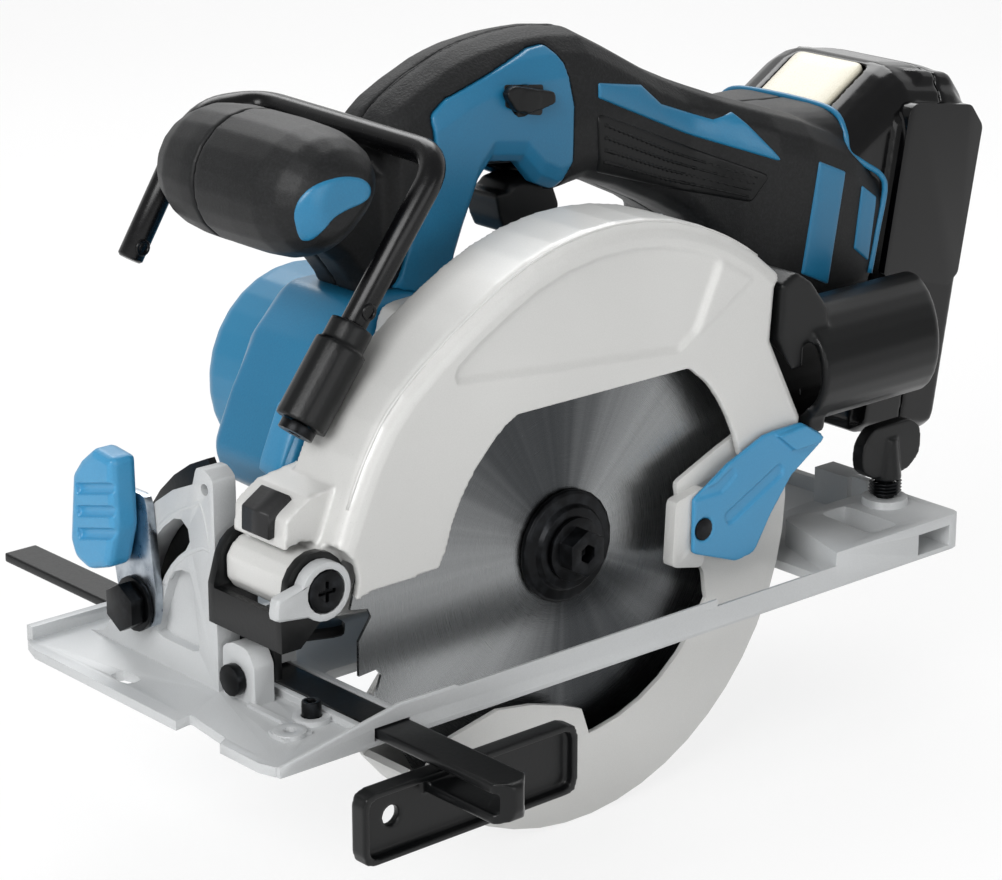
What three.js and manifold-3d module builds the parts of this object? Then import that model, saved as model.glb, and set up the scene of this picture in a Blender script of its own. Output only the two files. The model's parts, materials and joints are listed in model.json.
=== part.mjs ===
// Cordless circular saw: base, tilting frame, lifting head, blade train and battery.
// Millimetres.  +X runs rearward along the cut, +Y to the motor side, +Z up.
// The part's origin lies on the sole, under the arbor, on the near guide rail.
import * as THREE from 'three';
import { mergeVertices } from 'three/addons/utils/BufferGeometryUtils.js';
import Module from 'manifold-3d';

const wasm = await Module();
wasm.setup();

// ---------------------------------------------------------------- driving dimensions
const ARBOR_Z = 30;            // arbor above the sole at full depth
const BLADE_Y = 23;            // blade plane behind the origin
const BLADE_D = 165;
const BLADE_BORE = 20;
const BLADE_TEETH = 24;
const PLATE_T = 1.0;           // blade body
const KERF = 1.46;             // carbide tip width
const BASE_LENGTH = 283;
const BASE_WIDTH = 128;
const BASE_FRONT = -131;       // front edge ahead of the arbor
const BASE_NEAR = -27;         // near edge beside the blade plane
const SHEET = 3;               // base plate thickness
const BEVEL_Y = 20.2;          // tilt axis, parallel to X
const BEVEL_Z = -20.5;
const SLOT_R = 45;             // quadrant slot radius about the tilt axis
const BEVEL_TRAVEL = 40;
const BOLT_REST = 15;          // clamp bolt above level at square cut
const DEPTH_X = -101;          // lift axis, parallel to Y
const DEPTH_Z = 14;
const GUIDE_R = 170;           // depth guide radius about the lift axis
const MOTOR_X = 6.5;
const MOTOR_Z = 24.14;
const MOTOR_R = 35.5;
const MOTOR_LENGTH = 81;
const GEAR_MODULE = 1;
const PINION_TEETH = 9;
const WHEEL_TEETH = 41;
const HANDLE_Y = 58;           // parting plane of the handle halves
const HANDLE_W = 34;
const GRIP_R = 21;
const GRIP_LENGTH = 75;
const NOZZLE_R = 19.5;
const NOZZLE_END = 166;
const BATTERY_LENGTH = 114;
const BATTERY_WIDTH = 75;
const BATTERY_TILT = 10;
const FENCE_REACH = 241;       // bar length across the base
const ROD_D = 8;
// fits
const GAP = 0.3;               // between touching pieces
const RUN = 0.5;               // between turning pieces

const rad = THREE.MathUtils.degToRad;
const BLADE_R = BLADE_D / 2;
const SOLE = -ARBOR_Z;
const BASE_REAR = BASE_FRONT + BASE_LENGTH;
const BASE_FAR = BASE_NEAR + BASE_WIDTH;

// ---------------------------------------------------------------- solid modelling helpers
const solid = (geometry) => {
  const bare = geometry.clone();
  for (const name of Object.keys(bare.attributes)) {
    if (name !== 'position') bare.deleteAttribute(name);
  }
  const merged = geometry.userData.linked ? bare : mergeVertices(bare, 1e-4);
  const points = merged.attributes.position.array;
  const faces = Array.from(merged.index.array);
  let volume = 0;
  const at = (i) => new THREE.Vector3().fromArray(points, 3 * i);
  for (let i = 0; i < faces.length; i += 3) {
    volume += at(faces[i]).dot(at(faces[i + 1]).cross(at(faces[i + 2])));
  }
  if (volume < 0) {
    for (let i = 0; i < faces.length; i += 3) {
      const kept = faces[i];
      faces[i] = faces[i + 1];
      faces[i + 1] = kept;
    }
  }
  return new wasm.Manifold(new wasm.Mesh({
    numProp: 3,
    vertProperties: new Float32Array(points),
    triVerts: new Uint32Array(faces),
  }));
};
const join = (...parts) => parts.reduce((sum, part) => sum.add(part));
const cut = (body, ...tools) => tools.reduce((rest, tool) => rest.subtract(tool), body);

const box = (x0, x1, y0, y1, z0, z1) => {
  const shape = new THREE.BoxGeometry(x1 - x0, y1 - y0, z1 - z0);
  return solid(shape.translate((x0 + x1) / 2, (y0 + y1) / 2, (z0 + z1) / 2));
};

// a polygon whose corners [a, b, radius] are rounded
const rounded = (outline, radius = 0, steps = 2) => {
  const points = [];
  const corners = outline.map((p) => (p.isVector2 ? [p.x, p.y, 0] : p));
  corners.forEach((corner, i) => {
    const here = new THREE.Vector2(corner[0], corner[1]);
    const before = corners[(i + corners.length - 1) % corners.length];
    const after = corners[(i + 1) % corners.length];
    const back = new THREE.Vector2(before[0], before[1]).sub(here);
    const ahead = new THREE.Vector2(after[0], after[1]).sub(here);
    const wanted = corner[2] ?? radius;
    const half = Math.abs(Math.atan2(back.cross(ahead), back.dot(ahead))) / 2;
    const room = 0.48 * Math.min(back.length(), ahead.length());
    const run = Math.min(wanted / Math.tan(half), room);
    if (run < 0.05 || half > 1.5) {
      points.push(here);
      return;
    }
    const start = here.clone().addScaledVector(back.normalize(), run);
    const end = here.clone().addScaledVector(ahead.normalize(), run);
    for (let k = 0; k <= steps; k += 1) {
      const t = k / steps;
      const a = start.clone().multiplyScalar((1 - t) * (1 - t));
      points.push(a.addScaledVector(here, 2 * t * (1 - t)).addScaledVector(end, t * t));
    }
  });
  return points;
};
const arc = (cx, cz, r, from, to, steps) => {
  const points = [];
  for (let k = 0; k <= steps; k += 1) {
    const a = rad(from + (to - from) * k / steps);
    points.push(new THREE.Vector2(cx + r * Math.cos(a), cz + r * Math.sin(a)));
  }
  return points;
};
const slotArc = (cx, cz, r, half, from, to, steps) => [
  ...arc(cx, cz, r + half, from, to, steps),
  ...arc(cx + r * Math.cos(rad(to)), cz + r * Math.sin(rad(to)), half, to, to + 180, 4).slice(1),
  ...arc(cx, cz, r - half, to, from, steps).slice(1),
  ...arc(cx + r * Math.cos(rad(from)), cz + r * Math.sin(rad(from)), half,
    from + 180, from + 360, 4).slice(1, -1),
];

// a drawn outline pushed through a thickness; bevel rounds both rims in steps
const prism = (outline, depth, bevel = 0, steps = 2) => {
  const points = outline.map((p) => (p.isVector2 ? p.clone() : new THREE.Vector2(p[0], p[1])));
  if (!bevel) return new THREE.ExtrudeGeometry(new THREE.Shape(points), { depth, bevelEnabled: false });
  if (THREE.ShapeUtils.area(points) < 0) points.reverse();
  const levels = [];
  for (let k = 0; k <= steps; k += 1) {
    const a = Math.PI / 2 * k / steps;
    levels.push([bevel * (1 - Math.sin(a)), bevel * (1 - Math.cos(a))]);
  }
  const rings = [...levels, ...levels.map(([inset, z]) => [inset, depth - z]).reverse()];
  const count = points.length;
  const position = rings.flatMap(([inset, z]) => points.flatMap((p, i) => {
    const along = points[(i + 1) % count].clone().sub(points[(i + count - 1) % count]).normalize();
    return [p.x - along.y * inset, p.y + along.x * inset, z];
  }));
  const faces = [];
  for (let row = 0; row + 1 < rings.length; row += 1) {
    for (let k = 0; k < count; k += 1) {
      const a = row * count + k;
      const b = row * count + (k + 1) % count;
      faces.push(a, b, b + count, a, b + count, a + count);
    }
  }
  const last = (rings.length - 1) * count;
  for (const [a, b, c] of THREE.ShapeUtils.triangulateShape(points, [])) {
    faces.push(a, c, b, last + a, last + b, last + c);
  }
  const geometry = new THREE.BufferGeometry();
  geometry.setAttribute('position', new THREE.Float32BufferAttribute(position, 3));
  geometry.setIndex(faces);
  geometry.userData.linked = true;
  return geometry;
};
const plateXY = (points, z0, z1, bevel, steps) => solid(
  prism(points, z1 - z0, bevel, steps).translate(0, 0, z0),
);
const plateXZ = (points, y0, y1, bevel, steps) => solid(
  prism(points, y1 - y0, bevel, steps).rotateX(Math.PI / 2).translate(0, y1, 0),
);
const turnYZ = new THREE.Matrix4().makeBasis(
  new THREE.Vector3(0, 1, 0),
  new THREE.Vector3(0, 0, 1),
  new THREE.Vector3(1, 0, 0),
);
const plateYZ = (points, x0, x1, bevel, steps) => solid(
  prism(points, x1 - x0, bevel, steps).applyMatrix4(turnYZ).translate(x0, 0, 0),
);

const rodY = (x, z, r, y0, y1, sides = 20, r1 = r) => solid(
  new THREE.CylinderGeometry(r1, r, y1 - y0, sides).translate(x, (y0 + y1) / 2, z),
);
const rodX = (y, z, r, x0, x1, sides = 20, r1 = r) => solid(
  new THREE.CylinderGeometry(r1, r, x1 - x0, sides).rotateZ(-Math.PI / 2)
    .translate((x0 + x1) / 2, y, z),
);
const rodZ = (x, y, r, z0, z1, sides = 20, r1 = r) => solid(
  new THREE.CylinderGeometry(r1, r, z1 - z0, sides).rotateX(Math.PI / 2)
    .translate(x, y, (z0 + z1) / 2),
);
// a turned profile [radius, position] about an axis parallel to Y
const turnedY = (x, z, profile, sides = 24) => solid(
  new THREE.LatheGeometry(profile.map(([r, y]) => new THREE.Vector2(r, y)), sides)
    .translate(x, 0, z),
);
const turnedZ = (x, y, profile, sides = 20) => solid(
  new THREE.LatheGeometry(profile.map(([r, z]) => new THREE.Vector2(r, z)), sides)
    .rotateX(Math.PI / 2).translate(x, y, 0),
);
const hexX = (y, z, flats, x0, x1) => rodX(y, z, flats / Math.sqrt(3), x0, x1, 6);
const hexY = (x, z, flats, y0, y1) => rodY(x, z, flats / Math.sqrt(3), y0, y1, 6);

// rings of equal count skinned into one closed body
const loft = (rings) => {
  const count = rings[0].length;
  const points = rings.flat().flatMap((p) => [p.x, p.y, p.z]);
  const faces = [];
  for (let i = 0; i + 1 < rings.length; i += 1) {
    for (let k = 0; k < count; k += 1) {
      const a = i * count + k;
      const b = i * count + (k + 1) % count;
      faces.push(a, b, b + count, a, b + count, a + count);
    }
  }
  [0, rings.length - 1].forEach((row, last) => {
    const middle = rings[row].reduce((s, p) => s.add(p), new THREE.Vector3());
    middle.divideScalar(count);
    const centre = points.length / 3;
    points.push(middle.x, middle.y, middle.z);
    for (let k = 0; k < count; k += 1) {
      const a = row * count + k;
      const b = row * count + (k + 1) % count;
      faces.push(...(last ? [centre, a, b] : [centre, b, a]));
    }
  });
  const geometry = new THREE.BufferGeometry();
  geometry.setAttribute('position', new THREE.Float32BufferAttribute(points, 3));
  geometry.setIndex(faces);
  return solid(geometry);
};
// a round bar following a path, its frames carried along without twist
const sweep = (path, radius, sides = 8) => {
  const tangents = path.map((p, i) => {
    const a = path[Math.max(i - 1, 0)];
    const b = path[Math.min(i + 1, path.length - 1)];
    return b.clone().sub(a).normalize();
  });
  const seed = Math.abs(tangents[0].y) < 0.9 ? new THREE.Vector3(0, 1, 0) : new THREE.Vector3(1, 0, 0);
  let normal = seed.cross(tangents[0]).normalize();
  const rings = path.map((p, i) => {
    normal = normal.clone().addScaledVector(tangents[i], -normal.dot(tangents[i])).normalize();
    const side = tangents[i].clone().cross(normal);
    const ring = [];
    for (let k = 0; k < sides; k += 1) {
      const a = 2 * Math.PI * k / sides;
      ring.push(p.clone().addScaledVector(normal, radius * Math.cos(a))
        .addScaledVector(side, radius * Math.sin(a)));
    }
    return ring;
  });
  return loft(rings);
};
// straight legs with rounded bends
const bent = (corners, radius, steps = 4) => {
  const path = [corners[0].clone()];
  for (let i = 1; i + 1 < corners.length; i += 1) {
    const back = corners[i - 1].clone().sub(corners[i]).normalize();
    const ahead = corners[i + 1].clone().sub(corners[i]).normalize();
    for (let k = 0; k <= steps; k += 1) {
      const t = k / steps;
      path.push(corners[i].clone().addScaledVector(back, radius * (1 - t) * (1 - t))
        .addScaledVector(ahead, radius * t * t));
    }
  }
  path.push(corners[corners.length - 1].clone());
  return path;
};
const coil = (x, y, z0, z1, r, wire, turns, perTurn = 8) => {
  const path = [];
  for (let k = 0; k <= turns * perTurn; k += 1) {
    const a = 2 * Math.PI * k / perTurn;
    const z = z0 + (z1 - z0) * k / (turns * perTurn);
    path.push(new THREE.Vector3(x + r * Math.cos(a), y + r * Math.sin(a), z));
  }
  return sweep(path, wire, 4);
};

const toGeometry = (body) => {
  const mesh = body.getMesh();
  const geometry = new THREE.BufferGeometry();
  geometry.setAttribute('position', new THREE.BufferAttribute(new Float32Array(mesh.vertProperties), 3));
  geometry.setIndex(Array.from(mesh.triVerts));
  return geometry;
};

// ---------------------------------------------------------------- colours
const TEAL = ['#2d7396', 0.45, 0];
const SKY = ['#4fa8d8', 0.35, 0];
const GRIP = ['#24262a', 0.85, 0];
const BLACK = ['#16171a', 0.4, 0];
const GLOSS = ['#0c0d0f', 0.15, 0];
const CREAM = ['#efe9d2', 0.4, 0];
const PAINT = ['#c9ccc6', 0.45, 0.1];
const CAST = ['#c4c7c4', 0.5, 0.35];
const STEEL = ['#b9bcbf', 0.3, 0.9];
const BLUED = ['#1e1f22', 0.35, 0.7];
const ZINC = ['#b4bac2', 0.35, 0.8];
const COPPER = ['#a8622c', 0.4, 0.8];
const SILICON = ['#6c7076', 0.5, 0.7];

const saw = new THREE.Group();
saw.position.set(0, BLADE_Y, ARBOR_Z);
const place = (name, body, [color, roughness, metalness], into = saw) => {
  const geometry = toGeometry(body);
  geometry.computeVertexNormals();
  const mesh = new THREE.Mesh(
    geometry,
    new THREE.MeshStandardMaterial({ color, roughness, metalness, flatShading: true }),
  );
  mesh.name = name;
  into.add(mesh);
  return mesh;
};

// ---------------------------------------------------------------- base, cast in one piece
const PLATE_TOP = SOLE + SHEET;
const RAIL_TOP = SOLE + 9.7;
const BAR_X0 = -95;            // fence bar, just ahead of the teeth
const BAR_W = 12;
const BAR_T = 3;
const BAR_Z = SOLE + 2;
const OPEN_X0 = -80.3;
const OPEN_X1 = 92;
const WING_X = 140;
const WING_Y = -4.5;
const QUAD_X0 = -109;
const QUAD_X1 = -101;

// the near rail leans inwards as a 45 degree wall, so the tilted guard passes over it
const railSection = (x0, x1, top) => plateYZ([
  [BASE_NEAR, SOLE],
  [BASE_NEAR + 0.9 + top - SOLE, SOLE],
  [BASE_NEAR + 0.9, top],
  [BASE_NEAR, top],
], x0, x1);
let base = plateXY(
  rounded([
    [BASE_FRONT, BASE_NEAR, 7],
    [BASE_REAR, BASE_NEAR, 3],
    [BASE_REAR, BASE_FAR, 6],
    [BASE_FRONT, BASE_FAR, 10],
  ]),
  SOLE,
  PLATE_TOP,
);
const blockTop = SOLE + 12;
base = join(
  base,
  plateXY(rounded([
    [OPEN_X1 + 1, BASE_NEAR],
    [BASE_REAR, BASE_NEAR, 3],
    [BASE_REAR, 7, 3],
    [OPEN_X1 + 12, 7, 4],
  ]), SOLE + 1, blockTop),
  rodZ(WING_X, WING_Y, 8.5, SOLE + 1, blockTop + 2.5, 18, 7.5),
  box(BASE_REAR - 9, BASE_REAR - 6, 6, 13, PLATE_TOP - 1, SOLE + 16),
  box(BASE_REAR - 9, BASE_REAR, 15, 30, PLATE_TOP - 1, SOLE + 15),
  box(BASE_REAR - 3, BASE_REAR, 29, BASE_FAR - 4, PLATE_TOP - 1, SOLE + 8),
  box(BASE_FRONT + 4, BASE_REAR - 4, BASE_FAR - 3, BASE_FAR, PLATE_TOP - 1, SOLE + 7),
);
for (const y of [50, 68, 86]) {
  base = join(base, box(-70, BASE_REAR - 2, y, y + 2, PLATE_TOP - 1, SOLE + 6));
}
// channel walls for the fence bar, then the blade opening with the tilt clearance ahead
const BAR_X1 = BAR_X0 + BAR_W;
base = join(
  base,
  box(BAR_X0 - 2.6, BAR_X0 - 0.5, BASE_NEAR + 2, BASE_FAR - 1, PLATE_TOP - 1, SOLE + 5.2),
  box(BAR_X1 + 0.5, BAR_X1 + 2.6, BASE_NEAR + 2, BASE_FAR - 1, PLATE_TOP - 1, SOLE + 5.2),
);
base = cut(
  base,
  plateXY(rounded([
    [OPEN_X0, BASE_NEAR + 3],
    [OPEN_X1, BASE_NEAR + 3],
    [OPEN_X1, 19.6],
    [OPEN_X0, 19.6],
  ], 5), SOLE - 1, SOLE + 7),
);
base = join(
  base,
  railSection(-86, 40, RAIL_TOP),
  railSection(39, OPEN_X1 + 3, RAIL_TOP - 2.2),
  loft([
    [-129, PLATE_TOP + 0.2],
    [-86, RAIL_TOP + 1],
    [-66, RAIL_TOP + 1],
    [-64, RAIL_TOP],
  ].map(([x, top]) => [
    new THREE.Vector3(x, BASE_NEAR, SOLE),
    new THREE.Vector3(x, BASE_NEAR + 0.9 + top - SOLE, SOLE),
    new THREE.Vector3(x, BASE_NEAR + 0.9, top),
    new THREE.Vector3(x, BASE_NEAR, top),
  ])),
);
// bosses of the adjusting screws, and the web from the hinge lug to the rail
base = join(
  base,
  rodZ(-101.5, -6, 5.6, PLATE_TOP - 1, SOLE + 4.6, 16),
  rodZ(-112.5, -10, 5, PLATE_TOP - 1, SOLE + 4.4, 14),
  plateXY(rounded([
    [-117.5, -14],
    [-107.5, -14],
    [-107.5, 14],
    [-109.5, 14],
    [-110, -5, 3],
    [-117.5, -5, 3],
  ]), PLATE_TOP - 1, SOLE + 4),
);
// tilt quadrant: arc-slotted plate, post, and the hinge lug beside it
const boltAngle = (tilt) => BOLT_REST + tilt;
const quadrant = [
  [28, SOLE + 1],
  [28, 38, 3],
  [32, 40, 2],
  [36, 40, 2],
  ...arc(BEVEL_Y, BEVEL_Z, 57.5, 72, 8, 6).map((p) => [p.x, p.y]),
  [86, SOLE + 5, 4],
  [101, SOLE + 1],
];
base = join(
  base,
  plateYZ(rounded(quadrant), QUAD_X0, QUAD_X1),
  plateYZ(rounded([
    [12, SOLE + 1],
    [27, SOLE + 1],
    [27, -12, 3],
    [22, -10, 3],
    [15, -10, 4],
    [12, -15, 3],
  ]), -108, QUAD_X1),
  plateYZ(rounded([
    [12, SOLE + 1],
    [28, SOLE + 1],
    [27, -14, 6],
    [14, -14, 6],
  ]), 101, 107),
);
base = cut(
  base,
  plateYZ(slotArc(BEVEL_Y, BEVEL_Z, SLOT_R, 5, BOLT_REST - 1.5, BOLT_REST + BEVEL_TRAVEL + 1.5, 6),
    QUAD_X0 - 1, QUAD_X1 + 1),
  plateYZ(rounded([
    [36.5, SOLE + 12, 3],
    [60, SOLE + 12, 3],
    [50, 4, 4],
    [40, 8, 4],
  ]), QUAD_X0 - 1, QUAD_X0 + 3.5),
  rodX(32.2, 34, 1.8, QUAD_X0 - 1, QUAD_X1 + 1, 10),
  rodX(BEVEL_Y, BEVEL_Z, 3.3, -110, QUAD_X1 + 1, 12),
  rodX(BEVEL_Y, BEVEL_Z, 3.3, 100, 108, 12),
  box(BAR_X0 - 0.5, BAR_X1 + 0.5, BASE_NEAR - 1, BASE_FAR + 1, BAR_Z - 0.5, BAR_Z + BAR_T + 0.5),
  box(BAR_X0 - 0.5, BAR_X1 + 0.5, BASE_NEAR + 3, BASE_FAR + 1, BAR_Z, SOLE + 8),
  // rear pocket, fence window and the two threaded holes
  plateXY(rounded([[114, -22], [128, -22], [128, 2], [116, 2]], 3), PLATE_TOP + 1, blockTop + 1),
  box(BASE_REAR - 20, BASE_REAR - 5, BASE_NEAR - 1, -12, SOLE + 1.6, SOLE + 8.6),
  rodZ(WING_X, WING_Y, 3.3, SOLE - 1, blockTop + 4, 12),
  rodZ(-101.5, -6, 3.2, SOLE - 1, SOLE + 6, 14),
  rodZ(-112.5, -10, 1.8, SOLE + 1.5, SOLE + 6, 10),
  plateXY(rounded([[-136, -5], [-127.5, 0], [-125, 20], [-136, 18]], 1), SOLE - 1, SOLE + 4),
  plateXY(rounded([[-126, 50], [-120, 50], [-120, 60], [-126, 60]], 2.9), SOLE - 1, SOLE + 4),
);
// bridge over the bar for the front clamp screw
base = join(
  base,
  box(BAR_X0 - 2.5, BAR_X1 + 2.5, 28, 40, BAR_Z + BAR_T + 0.8, SOLE + 9),
  box(BAR_X0 - 2.5, BAR_X0 - 0.6, 28, 40, SOLE + 4, SOLE + 9),
  box(BAR_X1 + 0.6, BAR_X1 + 2.5, 28, 40, SOLE + 4, SOLE + 9),
);
base = cut(base, rodZ(BAR_X0 + BAR_W / 2, 34, 3.2, BAR_Z + BAR_T, SOLE + 10, 12));
place('base_casting', base, CAST);
place('adjusting_screw', cut(
  rodZ(-101.5, -6, 2.9, SOLE + 1.5, SOLE + 9, 14),
  rodZ(-101.5, -6, 1.6, SOLE + 6.5, SOLE + 9.5, 6),
), BLUED);

// ---------------------------------------------------------------- fence and its screws
const FENCE_FAR = 163;
const FENCE_TURN = FENCE_FAR - FENCE_REACH;
const PLATE_Y = -47;
let fence = join(
  box(BAR_X0, BAR_X1, FENCE_TURN, FENCE_FAR, BAR_Z, BAR_Z + BAR_T),
  plateYZ(rounded([
    [FENCE_TURN + 1, BAR_Z + BAR_T],
    [FENCE_TURN - 3, BAR_Z + BAR_T, 4],
    [FENCE_TURN - 3, BAR_Z - 9, 4],
    [PLATE_Y + 1, BAR_Z - 9],
    [PLATE_Y + 1, BAR_Z - 6],
    [FENCE_TURN, BAR_Z - 6, 1.5],
    [FENCE_TURN, BAR_Z, 1.5],
    [FENCE_TURN + 1, BAR_Z],
  ]), BAR_X0, BAR_X1),
  plateXZ(rounded([[-118, -53], [-39, -53], [-39, -31], [-118, -31]], 4), PLATE_Y, PLATE_Y + 3),
);
fence = join(fence, cut(
  plateXZ(rounded([[-118, -53], [-39, -53], [-39, -31], [-118, -31]], 4), PLATE_Y - 3, PLATE_Y + 1),
  plateXZ(rounded([[-116, -51], [-41, -51], [-41, -33], [-116, -33]], 3), PLATE_Y - 4, PLATE_Y + 2),
));
fence = cut(
  fence,
  rodY(-106, -41, 3, PLATE_Y - 4, PLATE_Y + 4, 12),
);
place('fence', fence, BLACK);

place('clamp_screw', join(
  rodZ(BAR_X0 + BAR_W / 2, 34, 2.9, BAR_Z + BAR_T + GAP, SOLE + 13, 12),
  plateXY(rounded([[-95, 30, 4], [-88, 40, 4], [-64, 27, 5], [-68, 19, 5]]), SOLE + 12, SOLE + 15.5, 0.8, 1),
), BLACK);

const springTop = SOLE + 21;
place('wing_spring', coil(WING_X, WING_Y, blockTop + 3.6, springTop - 0.9, 5, 0.6, 4), STEEL);
place('wing_bolt', join(
  rodZ(WING_X, WING_Y, 3, SOLE + 1, springTop + 4, 12),
  rodZ(WING_X, WING_Y, 5.4, springTop, springTop + 14, 16, 3.6),
  plateXZ(rounded([
    [WING_X - 14, springTop + 5, 5],
    [WING_X - 8, springTop + 1.5, 5],
    [WING_X + 8, springTop + 1.5, 5],
    [WING_X + 14, springTop + 6, 5],
    [WING_X + 14, springTop + 16, 7],
    [WING_X + 8, springTop + 19, 5],
    [WING_X - 9, springTop + 19, 5],
    [WING_X - 14, springTop + 14, 7],
  ]), WING_Y - 2.4, WING_Y + 2.4),
), BLACK);

// ---------------------------------------------------------------- tilting frame
const BOLT_Y = BEVEL_Y + SLOT_R * Math.cos(rad(BOLT_REST));
const BOLT_Z = BEVEL_Z + SLOT_R * Math.sin(rad(BOLT_REST));
const EAR_NEAR = [-8.6, -5.8];
const EAR_FAR = [22.8, 25.6];
const EAR_R = 10.5;
const earDisc = arc(DEPTH_X, DEPTH_Z, EAR_R, 200, -80, 14).map((p) => [p.x, p.y]);
let bracket = join(
  plateXZ(rounded([
    ...earDisc,
    [-106.8, -3],
    [-113.5, -3],
    [-113.5, 9, 2],
  ]), ...EAR_NEAR),
  plateXZ(rounded([
    ...arc(DEPTH_X, DEPTH_Z, EAR_R, 160, 0, 8).map((p) => [p.x, p.y]),
    [-98, 8],
    [-98, -3],
    [-113.5, -3],
    [-113.5, 9, 2],
  ]), ...EAR_FAR),
  plateYZ(rounded([
    [EAR_NEAR[0], -3],
    [EAR_FAR[1], -3],
    [EAR_FAR[1], 8],
    [EAR_NEAR[0], 8],
  ]), -113.5, -111),
  plateYZ(rounded([
    [12, -21],
    [20, -25],
    [60, -23.5],
    [80, -16, 3],
    ...arc(BEVEL_Y, BEVEL_Z, 63.5, 8, 70, 7).map((p) => [p.x, p.y]),
    [EAR_FAR[0] + 0.6, 12, 3],
    [EAR_FAR[0] + 0.6, 0],
    [12, -12],
  ]), -100.5, -98),
);
bracket = cut(
  bracket,
  rodY(DEPTH_X, DEPTH_Z, 4.3, -10, 30, 16),
  rodY(DEPTH_X, DEPTH_Z, 7.2, EAR_FAR[1] - 0.05, 29, 12),
  rodX(BEVEL_Y, BEVEL_Z, 3.3, -120, -90, 12),
  rodX(BOLT_Y, BOLT_Z, 3.3, -120, -90, 12),
);
place('tilt_bracket', bracket, BLACK);

const band = (half, from, to) => slotArc(DEPTH_X, DEPTH_Z, GUIDE_R, half, from, to, 7);
const GUIDE_Y = [18.6, 21.2];
const STUD_AT = -8;
let guide = join(
  plateXZ(band(8.5, -9, 23.5), ...GUIDE_Y),
  plateXZ(rounded([[62, -22], [98, -25], [98, -13], [72, -4]], 3), ...GUIDE_Y),
  plateYZ(rounded([[17, -24.6, 1], [27, -25], [27, -14], [13, -14], [13, -20.5, 1]], 3), 97.3, 100.4),
);
guide = cut(
  guide,
  plateXZ(band(3.6, STUD_AT - 0.3, STUD_AT + 30.6), GUIDE_Y[0] - 1, GUIDE_Y[1] + 1),
  rodX(BEVEL_Y, BEVEL_Z, 3.3, 90, 102, 12),
);
place('depth_guide', guide, STEEL);

place('front_hinge_pin', join(
  rodX(BEVEL_Y, BEVEL_Z, 4.8, -111, -108.3, 14),
  rodX(BEVEL_Y, BEVEL_Z, 3, -109, -97.9, 12),
), BLUED);
place('rear_hinge_pin', join(
  rodX(BEVEL_Y, BEVEL_Z, 3, 96.9, 108, 12),
  rodX(BEVEL_Y, BEVEL_Z, 4.8, 107.3, 110, 14),
), BLUED);

place('bevel_bolt', join(
  hexX(BOLT_Y, BOLT_Z, 13, -118.6, -114),
  rodX(BOLT_Y, BOLT_Z, 3, -115, -97.7, 12),
), BLUED);
place('bevel_washer', cut(
  rodX(BOLT_Y, BOLT_Z, 8.5, -113.7, -112.2, 18),
  rodX(BOLT_Y, BOLT_Z, 3.3, -114, -112, 12),
), BLUED);
place('bevel_lever_strip', cut(
  plateYZ(rounded([
    [BOLT_Y - 9, BOLT_Z - 6, 6],
    [BOLT_Y + 6, BOLT_Z - 9, 6],
    [BOLT_Y + 10, BOLT_Z + 4, 4],
    [BOLT_Y + 16, 26, 3],
    [BOLT_Y - 6, 26, 3],
    [BOLT_Y - 9.5, BOLT_Z + 6, 4],
  ]), -111.9, -109.3),
  rodX(BOLT_Y, BOLT_Z, 3.3, -113, -108, 12),
), ZINC);
const knobGroove = (z) => sweep([
  new THREE.Vector3(-122, 79, z - 3),
  new THREE.Vector3(-122, 56, z + 3),
], 2, 8);
place('bevel_knob', cut(
  plateYZ(rounded([
    [64.5, 4, 4],
    [75, 0.5, 4],
    [82, 2.5, 4],
    [84.3, 8, 3],
    [81.6, 29, 4],
    [77, 34.5, 3],
    [70.5, 39.5, 2],
    [60.5, 38.5, 2],
    [60.2, 17, 8],
  ]), -121.6, -112.2, 2.2, 2),
  ...[14, 21, 28].map(knobGroove),
), SKY);

place('depth_pivot_bolt', cut(
  join(
    rodY(DEPTH_X, DEPTH_Z, 6.2, -13.6, -9, 18),
    rodY(DEPTH_X, DEPTH_Z, 4, -10, 27.5, 14),
    rodY(DEPTH_X, DEPTH_Z, 6.5, 25.9, 27.6, 6),
  ),
  box(DEPTH_X - 3, DEPTH_X + 3, -14, -12.2, DEPTH_Z - 0.6, DEPTH_Z + 0.6),
  box(DEPTH_X - 0.6, DEPTH_X + 0.6, -14, -12.2, DEPTH_Z - 3, DEPTH_Z + 3),
), BLUED);
place('stop_lever', cut(
  join(
    rodY(DEPTH_X, DEPTH_Z, 8.7, -13.3, -9.1, 22),
    plateXZ(rounded([[-101, 19], [-118, 15.5, 2], [-119, 9, 2], [-103, 7]]), -13.3, -9.1, 0.8, 1),
  ),
  rodY(DEPTH_X, DEPTH_Z, 6.6, -14, -8, 18),
), CAST);

// ---------------------------------------------------------------- upper guard and gear case
const NEAR_FACE = -12.5;
const NEAR_T = 2.3;
const FAR_FACE = 17;
const FAR_T = 2.5;
const scale = BLADE_R / 82.5;
// rim radius round the arbor: wider at the front lobe and over the rear quarter
const rimRadius = (a) => scale * (a > 163
  ? 97 + 8 * Math.min((a - 163) / 17, 1)
  : 94.3 + 0.2 * Math.max(0, 115 - a) + 2.7 * Math.max(0, Math.min((a - 128) / 14, 1)));
const rimArc = (from, to, steps, inset = 0) => {
  const points = [];
  for (let k = 0; k <= steps; k += 1) {
    const a = from + (to - from) * k / steps;
    const r = rimRadius(a) - inset;
    points.push([r * Math.cos(rad(a)), r * Math.sin(rad(a))]);
  }
  return points;
};
const rearEdge = [[79, 70], [77.5, 52], [92, 24], [91, 20.5]];
const frontEdge = [[-87, 9.4], [-93, 8], [-101, 3]];
const shellRing = (y, inset) => [
  ...rimArc(178, 42, 20, inset),
  ...rearEdge.map(([x, z]) => [x - 0.7 * inset, z]),
  [66, 17],
  [0, 12],
  ...frontEdge.map(([x, z]) => [x + 0.6 * inset, z]),
].map(([x, z]) => new THREE.Vector3(x, y, z));
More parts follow.
